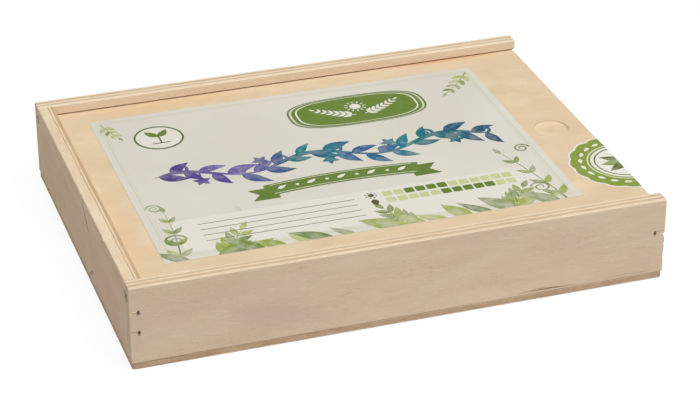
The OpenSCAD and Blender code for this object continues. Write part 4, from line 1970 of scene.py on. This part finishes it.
    def draw_chart(self, inks: LabelInks) -> None:
        """Draws a pale panel with blank lines to write on and a chart of twelve months without words.

        Args:
            inks: The inks.
        """
        inks.ground.add(patch((-101, -77), (103, -43), 6.0))
        inks.olive.add(*[rule(-88.0, -2.0, y, 0.35) for y in (-50.0, -56.0, -62.0, -68.0)], tone=1.0)
        pitch, size, start, corner_radius = 6.2, 5.2, 14.0, 0.9
        for y, months in {-49.0: (2, 3, 4, 5), -56.0: (5, 6, 7, 8, 9)}.items():
            for month in range(12):
                low = (start + month * pitch, y - size / 2)
                cell = patch(low, (low[0] + size, y + size / 2), corner_radius)
                if month in months:
                    inks.green.add(cell, tone=0.15)
                else:
                    inks.leaves.add(cell, tone=0.0)
        sun = (start - 6.5, -48.5)
        inks.olive.add(disc(sun, 1.7, columns=24), tone=0.0)
        inks.olive.add(*rays(sun, (2.4, 2.9, 3.4), 8, 0.6, first=22))
        inks.olive.add(leaf((sun[0], -53.2), -90, 6.4, 4.2), tone=0.0)

    def draw_foliage(self, inks: LabelInks) -> None:
        """Draws herbs in a pale wash behind the chart, and broad leaves along the lower edge.

        Args:
            inks: The inks.
        """
        random = np.random.default_rng(self.seed + 1)
        herb_foot, front_foot, leaf_foot, top = -84, -88, -87, 78

        def plant(layer: Layer, parts: Sequence[Surface], low: float, high: float) -> None:
            """Adds the parts of a plant with tones of their own."""
            for part in parts:
                layer.add(part, tone=low + (high - low) * float(random.random()))

        herbs = ((-62, 84, 40, 12), (-20, 74, 34, 13), (14, 98, 36, 12), (50, 80, 30, 12))
        for x, heading, length, size in herbs:
            plant(inks.foliage, sprig((x, herb_foot), heading, length, 4, size, 0.12), 0.0, 0.3)
        stems = (
            (-106, 80, 56, 11), (-84, 58, 30, 15), (20, 116, 26, 14), (74, 62, 26, 15), (106, 98, 64, 12),
        )
        for x, heading, length, size in stems:
            bend = 0.2 * (random.random() - 0.5)
            plant(inks.leaves, sprig((x, front_foot), heading, length, 4, size, bend), 0.2, 1.0)
        for x in np.linspace(-100, 102, 17):
            heading = 90 + (38 + 22 * random.random()) * random.choice([-1, 1])
            reach = 17 + 9 * random.random()
            bend = 0.35 * (random.random() - 0.5)
            blade = leaf((x, leaf_foot), heading, reach, reach * (0.24 + 0.2 * random.random()), bend)
            plant(inks.leaves, [blade], 0.1, 1.0)
        tendrils = (
            (-97, -62, 100, 6.5, 1), (92, -66, 70, 5.5, -1), (109, -22, 96, 4.6, 1), (-110, -26, 84, 4.6, -1),
        )
        for x, y, heading, size, hand in tendrils:
            plant(inks.leaves, [curl((x, y), heading, size, 1.6, hand, 1.2)], 0.5, 0.9)
        plant(inks.leaves, sprig((-109, top), -78, 19, 3, 7.5, 0.1), 0.1, 0.7)
        plant(inks.leaves, sprig((110, top), -126, 30, 4, 9, -0.1), 0.1, 0.7)

    def build(self) -> None:
        """Dresses the label's node as paper, and prints the design on it."""
        dress(self.node, Paper("label paper", "DAD5C9", "D4CFC2", specks=0.1, roughness=0.5))
        inks = LabelInks()
        self.draw_border(inks)
        self.draw_ring(inks)
        self.draw_plaque(inks)
        self.draw_vine(inks)
        self.draw_ribbon(inks)
        self.draw_chart(inks)
        self.draw_foliage(inks)
        low, high = node_box(self.node)
        limit = np.array([self.half_length, self.half_width]) - self.trim
        for layer in inks.layers():
            flat = layer.surface().clipped(-limit, limit).facing_up()
            laid = flat.moved((low[0] + high[0]) / 2, (low[1] + high[1]) / 2, high[2])
            piece = thickened(laid.built(layer.name, closed=False), self.print_depth)
            install(piece, Body.LID, Slot.LABEL, layer.ink)


@dataclass
class Seal:
    """The round paper seal that is folded over the lid's open end and slit under the lid.

    It is drawn flat, x from the fold and y from its middle, and then laid over the edge.
    """

    lid_node: str = "seal_lid_half"
    wall_node: str = "seal_wall_half"
    radius: float = 30.75
    lobes: int = 16
    notch: float = 1.2
    border: float = 1.1
    middle: float = 2.7
    fold_radius: float = 0.35
    sheet: float = 0.15
    print_depth: float = 0.02
    step: float = 0.01
    lid_reach: float = 4.0
    wall_start: float = 4.65

    def lobed(self, margin: float) -> Surface:
        """Fills the seal's outline drawn in by a margin: its radius falls by the notch between the lobes."""

        def reach(angle: Array) -> Array:
            """Gives the radius at each angle."""
            return self.radius - margin - self.notch * (1 - np.abs(np.sin(self.lobes * angle / 2)))

        return polar(reach, (0.0, 0.5, 1.0), self.lobes * 14, (self.middle, 0.0))

    def layers(self) -> list[Layer]:
        """Draws the seal, from the bare sheet to the lines on it.

        Returns:
            The sheet and the three inks.
        """
        pale, centre, columns = ("E6E4D6",), (self.middle, 0.0), 96
        green_ink = Ink("seal green", ("788E2E", "869A3E"), thinness=0.1, body=0.6, rim=0.2, unevenness=0.6)
        paper = Layer("paper", Ink("seal paper", pale, shine=0.3), self.sheet)
        green = Layer("green", green_ink, self.sheet + self.step)
        cream = Layer("cream", Ink("seal cream", pale, shine=0.3), self.sheet + 2 * self.step)
        olive_ink = Ink("seal olive", ("5E6428", "7C9440"), thinness=0.3, vein=0.4)
        olive = Layer("olive", olive_ink, self.sheet + 3 * self.step, 0.001)
        paper.add(self.lobed(0.0))
        green.add(self.lobed(self.border))
        cream.add(disc(centre, 18.2, columns=columns), disc(centre, 20.2, 19.5, columns=columns))
        leaves, wreath, back = 20, 24.0, 2.4
        for number in range(leaves):
            angle = 360 / leaves * number
            outwards, onwards = directions(angle)
            base = np.array(centre) + wreath * outwards - back * onwards
            cream.add(leaf(base, angle + 90 + 12, 5.0, 2.3, -0.1))
        olive.add(disc(centre, 16.4, 15.5, columns=columns), tone=0.0)
        for side, foot, length, width in ((180, 3, 16.5, 6.2), (0, -1, 14.0, 5.4)):
            for lean in (-30, 0, 30) if side else (30, 0, -30):
                blade = leaf((self.middle + foot, 0), side + lean, length, width)
                olive.add(blade, tone=0.0 if lean else 1.0)
        return [paper, green, cream, olive]

    def folded(self, surface: Surface, end: float, top: float, offset: float) -> Surface:
        """Lays the flat seal over the lid's edge.

        Up to one radius before the fold it lies flat. For the next two radii it follows a quarter circle, at
        the angle that grows with the way. Past that it hangs straight down.

        Args:
            surface: The flat seal, with the height above its underside as z.
            end: Place of the lid's end along x.
            top: Height of the lid's top.
            offset: Place of the seal's middle along y.

        Returns:
            The folded seal.
        """
        radius = self.fold_radius
        way, across, height = surface.points.T
        angle = np.clip((way + radius) / (2 * radius), 0, 1) * math.pi / 2
        x = end - radius + (radius + height) * np.sin(angle) + np.minimum(way + radius, 0)
        z = top - radius + (radius + height) * np.cos(angle) - np.maximum(way - radius, 0)
        return surface.mapped(lambda points: np.stack([x, across + offset, z], axis=1))

    def build(self) -> None:
        """Builds both halves of the seal."""
        offset = sum(corner[1] for corner in node_box(self.wall_node)) / 2
        end, top = node_box("lid_panel")[1][[0, 2]]
        creases = np.linspace(-self.fold_radius, self.fold_radius, 6)
        reach = self.radius + 1.0
        halves = (
            (self.lid_node, Body.LID, self.middle - reach, self.lid_reach, creases),
            (self.wall_node, Body.BOX, self.wall_start, self.middle + reach, ()),
        )
        for node, body, start, stop, bends in halves:
            paper, *inks = self.layers()
            for layer in (paper, *inks):
                flat = layer.surface().clipped((start, -reach), (stop, reach), bends).facing_up()
                piece = self.folded(flat, end, top, offset).built(f"{node}_{layer.name}", closed=False)
                depth, nodes = (self.sheet, (node,)) if layer is paper else (self.print_depth, ())
                install(thickened(piece, depth), body, Slot.SEAL, layer.ink, *nodes)


@dataclass
class Packets:
    """The three kraft paper seed packets, each with a plain printed plant."""

    nodes: tuple[str, ...] = ("left_packet", "middle_packet", "right_packet")
    width: float = 81.4
    length: float = 124.4
    crown: float = 4.0
    edge: float = 0.8
    flap: float = 24.0
    flap_step: float = 0.35
    seeds: int = 150
    seed_relief: float = 0.18
    fold_relief: float = 0.16
    print_level: float = 0.05
    print_depth: float = 0.15
    turns: Triple = (0.8, -0.6, 0.5)

    def height(self, across: Array, along: Array, seeds: Array) -> Array:
        """Gives the height of a packet's face.

        It is a pillow, edge + (crown - edge)(1 - u^4)(1 - v^6) for the shares u across and v along from the
        middle, with a bump exp(-d^2 / 2.5) at the distance d from each seed, soft folds and the flap on top.

        Args:
            across: Place across the packet.
            along: Place along it, from its lower end.
            seeds: Places of the seeds under the paper.

        Returns:
            The height above the bay's floor.
        """
        u = 2 * across / self.width
        v = 2 * along / self.length - 1
        pillow = (1 - u**4).clip(0) * (1 - v**6).clip(0)
        gap = (across[..., None] - seeds[:, 0]) ** 2 + (along[..., None] - seeds[:, 1]) ** 2
        bumps = self.seed_relief * np.exp(-gap / 2.5).sum(axis=-1).clip(0, 1)
        folds = self.fold_relief * np.sin(across / 7 + 2 * np.sin(along / 19)) * np.sin(along / 11)
        edge = self.length - self.flap + 5 * np.abs(u) ** 1.6
        flap = self.flap_step * ((along - edge) / 0.4).clip(0, 1)
        return self.edge + (self.crown - self.edge) * pillow + (bumps + folds) * pillow + flap

    def envelope(self, seeds: Array) -> Surface:
        """Makes a packet's closed skin, ring after ring from its lower end.

        Each ring runs over the face at its height and back along the floor.

        Args:
            seeds: Places of the seeds under the paper.

        Returns:
            The surface, from the middle of the packet's lower edge.
        """
        body = self.length - self.flap
        along = np.concatenate([np.linspace(0, body - 1, 60), np.linspace(body, self.length, 60)])
        columns, rows = np.meshgrid(np.linspace(-1, 1, 57) * self.width / 2, along)
        plan = np.stack([columns, rows], axis=-1)
        top = raised(plan, self.height(columns, rows, seeds)[..., None])
        return Surface.tube(np.concatenate([top, raised(plan)[:, ::-1]], axis=1))

    @staticmethod
    def plants() -> list[list[Surface]]:
        """Draws one plain plant for each packet, from the middle of the packet's lower edge.

        Returns:
            The parts of a tall, of a feathery and of a flowering plant.
        """
        foot, crowding = 22, 0.2
        tall = sprig((0, foot), 90, 52, 5, 17, 0.04)
        feathery, stems, heads = [], [], []
        for x in (-14, 0, 14):
            feathery += sprig((x * crowding, foot), 90 - x, 44, 7, 9, -x * 0.004)
        for x in (-12, 0, 12):
            stems += sprig((x * crowding, foot), 90 - x, 34, 2, 11)
            heads += blossom((x * 1.1, 62), 8.5, 7, x)
        return [tall, feathery, stems + heads]

    def laid(self, surface: Surface, node: str, turn: float) -> Surface:
        """Lays a surface into its bay, turned about the middle of its packet.

        A turn by the angle a takes (x, y) to (x cos a - y sin a, x sin a + y cos a).

        Args:
            surface: The surface, from the middle of the packet's lower edge.
            node: The packet's node.
            turn: The angle in degrees.

        Returns:
            The surface in the frame.
        """
        low, high = node_box(node)
        matrix = np.eye(3)
        matrix[:2, :2] = directions(turn)
        centred = surface.moved(0.0, -self.length / 2, low[2])
        return centred.mapped(lambda points: points @ matrix).moved(*(low + high)[:2] / 2, 0.0)

    def build(self) -> None:
        """Builds, prints and dresses the packets."""
        random = np.random.default_rng(97)
        margin, fill = 8, self.length - 30
        kraft = Paper("kraft paper", "C9A67A", "B8946A", "8F6C48", 0.5, 0.75, 1.6, 0.03)
        greens = ("3F5A2E", "557A3A", "6B8A4A")
        for node, turn, art in zip(self.nodes, self.turns, self.plants()):
            across = random.uniform(-0.8, 0.8, self.seeds) * self.width / 2
            seeds = np.stack([across, random.uniform(margin, fill, self.seeds)], axis=1)
            body = self.laid(self.envelope(seeds), node, turn)
            install(smoothed(body.built(f"{node}_envelope")), Body.BOX, Slot.PACKET, kraft, node)
            ink = Ink(f"{node} ink", greens, 0.4, 0.6, vein=0.5, paper=kraft.deep, roughness=kraft.roughness)
            layer = Layer(f"{node}_print", ink, self.print_level, 0.001)
            for part in art:
                layer.add(part, tone=float(random.random()))
            layer.add(*[rule(-26.0, 26.0, y, 0.8) for y in (12.0, 15.0, 88.0)], tone=0.1)
            flat = layer.surface().facing_up()
            flat.points[:, 2] += self.height(*flat.points[:, :2].T, seeds)
            piece = self.laid(flat, node, turn).built(layer.name, closed=False)
            install(thickened(piece, self.print_depth), Body.BOX, Slot.PACKET, ink)


@dataclass
class Brads:
    """The steel brads, which keep their exact shape."""

    nodes: tuple[str, ...] = (
        "front_left_brads", "front_right_brad", "back_left_brads", "back_right_brad", "bottom_brads",
    )

    def build(self) -> None:
        """Dresses the brads."""
        for node in self.nodes:
            dress(node, Wire("brad wire"))


# Studio


@dataclass(frozen=True)
class Lamp:
    """A round soft lamp that looks at the box's middle."""

    name: str
    place: Triple
    size: float
    power: float

    def hang(self) -> None:
        """Hangs the lamp at its place."""
        lamp = bpy.data.objects.new(self.name, bpy.data.lights.new(self.name, "AREA"))
        lamp.data.shape = "DISK"
        lamp.data.size = self.size * MM
        lamp.data.energy = self.power
        lamp.location = Vector(self.place) * MM
        lamp.rotation_euler = (-Vector(self.place)).to_track_quat("-Z", "Y").to_euler()
        bpy.context.scene.collection.objects.link(lamp)


@dataclass
class Studio:
    """Camera, floor, world and lamps. Places are in millimetres, angles in degrees and powers in watts."""

    camera_place: Triple = (-358.7, -1080.7, 631.7)
    camera_azimuth: float = 18.683
    camera_elevation: float = 28.537
    camera_roll: float = 0.064
    focal_length: float = 120.64
    floor_size: float = 9000.0
    floor_gap: float = 0.05
    floor_glow: float = 1.05
    glow_share: float = 0.87
    contact: float = 0.5
    sky: float = 0.2
    lamps: tuple[Lamp, ...] = (
        Lamp("overhead softbox", (60.0, -250.0, 1700.0), 1400.0, 24.0),
        Lamp("front softbox", (700.0, -1700.0, 900.0), 1200.0, 7.4),
    )

    def set_camera(self) -> None:
        """Sets the camera at the photograph's place, with the photograph's field of view."""
        camera = bpy.data.objects.new("camera", bpy.data.cameras.new("camera"))
        camera.data.lens = self.focal_length
        camera.data.clip_end = 50.0
        turn = (
            Matrix.Rotation(math.radians(-self.camera_azimuth), 4, "Z")
            @ Matrix.Rotation(math.radians(90 - self.camera_elevation), 4, "X")
            @ Matrix.Rotation(math.radians(self.camera_roll), 4, "Z")
        )
        camera.matrix_world = Matrix.Translation(Vector(self.camera_place) * MM) @ turn
        bpy.context.scene.collection.objects.link(camera)
        bpy.context.scene.camera = camera

    @staticmethod
    def seen_directly(graph: Graph) -> Socket:
        """Gives 1 for rays from the camera, also by way of a mirror or glass."""
        path = graph.add("LightPath").outputs
        seen = graph.math("MAXIMUM", path["Is Camera Ray"], path["Is Glossy Ray"])
        return graph.math("MAXIMUM", seen, path["Is Transmission Ray"])

    def lay_floor(self) -> None:
        """Lays the pale floor.

        It looks white from above, keeps a faint shadow of the box, and is clear from below. It lies a hair
        under the box and lets through the rays that start at the box's underside, so that this isn't black.
        """
        half = self.floor_size / 2
        corners = raised(np.array(rectangle((-half, -half), (half, half))), -self.floor_gap)
        floor = Surface(corners, np.array([[0, 1, 2, 3]])).built("floor", closed=False)
        material = bpy.data.materials.new("pale floor")
        graph = Graph.emptied(material)
        cloud = graph.noise(graph.add("TexCoord").outputs["Object"], 1.5, 2)
        matt = graph.shade("BsdfDiffuse", {"Color": graph.mixed(cloud, tint("DCDAD6"), tint("E4E2DE"))})
        white = graph.shade("Emission", {"Strength": self.floor_glow})
        bright = graph.shade("MixShader", {0: self.glow_share, 1: matt, 2: white})
        seen = graph.shade("MixShader", {0: self.seen_directly(graph), 1: matt, 2: bright})
        clear = graph.shade("BsdfTransparent")
        below = graph.add("NewGeometry").outputs["Backfacing"]
        touched = graph.math("LESS_THAN", graph.add("LightPath").outputs["Ray Length"], self.contact * MM)
        through = graph.math("MAXIMUM", below, touched)
        graph.add("OutputMaterial", {"Surface": graph.shade("MixShader", {0: through, 1: seen, 2: clear})})
        floor.data.materials.append(material)

    def light(self) -> None:
        """Sets the world, which looks white but lights softly, and hangs the lamps."""
        world = bpy.data.worlds.new("studio")
        graph = Graph.emptied(world)
        white = (1, 1, 1, 1)
        soft = graph.shade("Background", {"Color": white, "Strength": self.sky})
        bright = graph.shade("Background", {"Color": white, "Strength": 1.0})
        sky = graph.shade("MixShader", {0: self.seen_directly(graph), 1: soft, 2: bright})
        graph.add("OutputWorld", {"Surface": sky})
        bpy.context.scene.world = world
        for lamp in self.lamps:
            lamp.hang()

    def build(self) -> None:
        """Sets up the studio."""
        self.set_camera()
        self.lay_floor()
        self.light()
        bpy.context.scene.view_settings.view_transform = "Standard"


def main() -> None:
    """Builds the box in the studio."""
    logging.basicConfig(level=logging.INFO, format="%(name)s: %(message)s")
    for assembly in (Studio(), Carcass(), Base(), Dividers(), Lid(), Label(), Seal(), Packets(), Brads()):
        assembly.build()


if __name__ == "__main__":
    main()
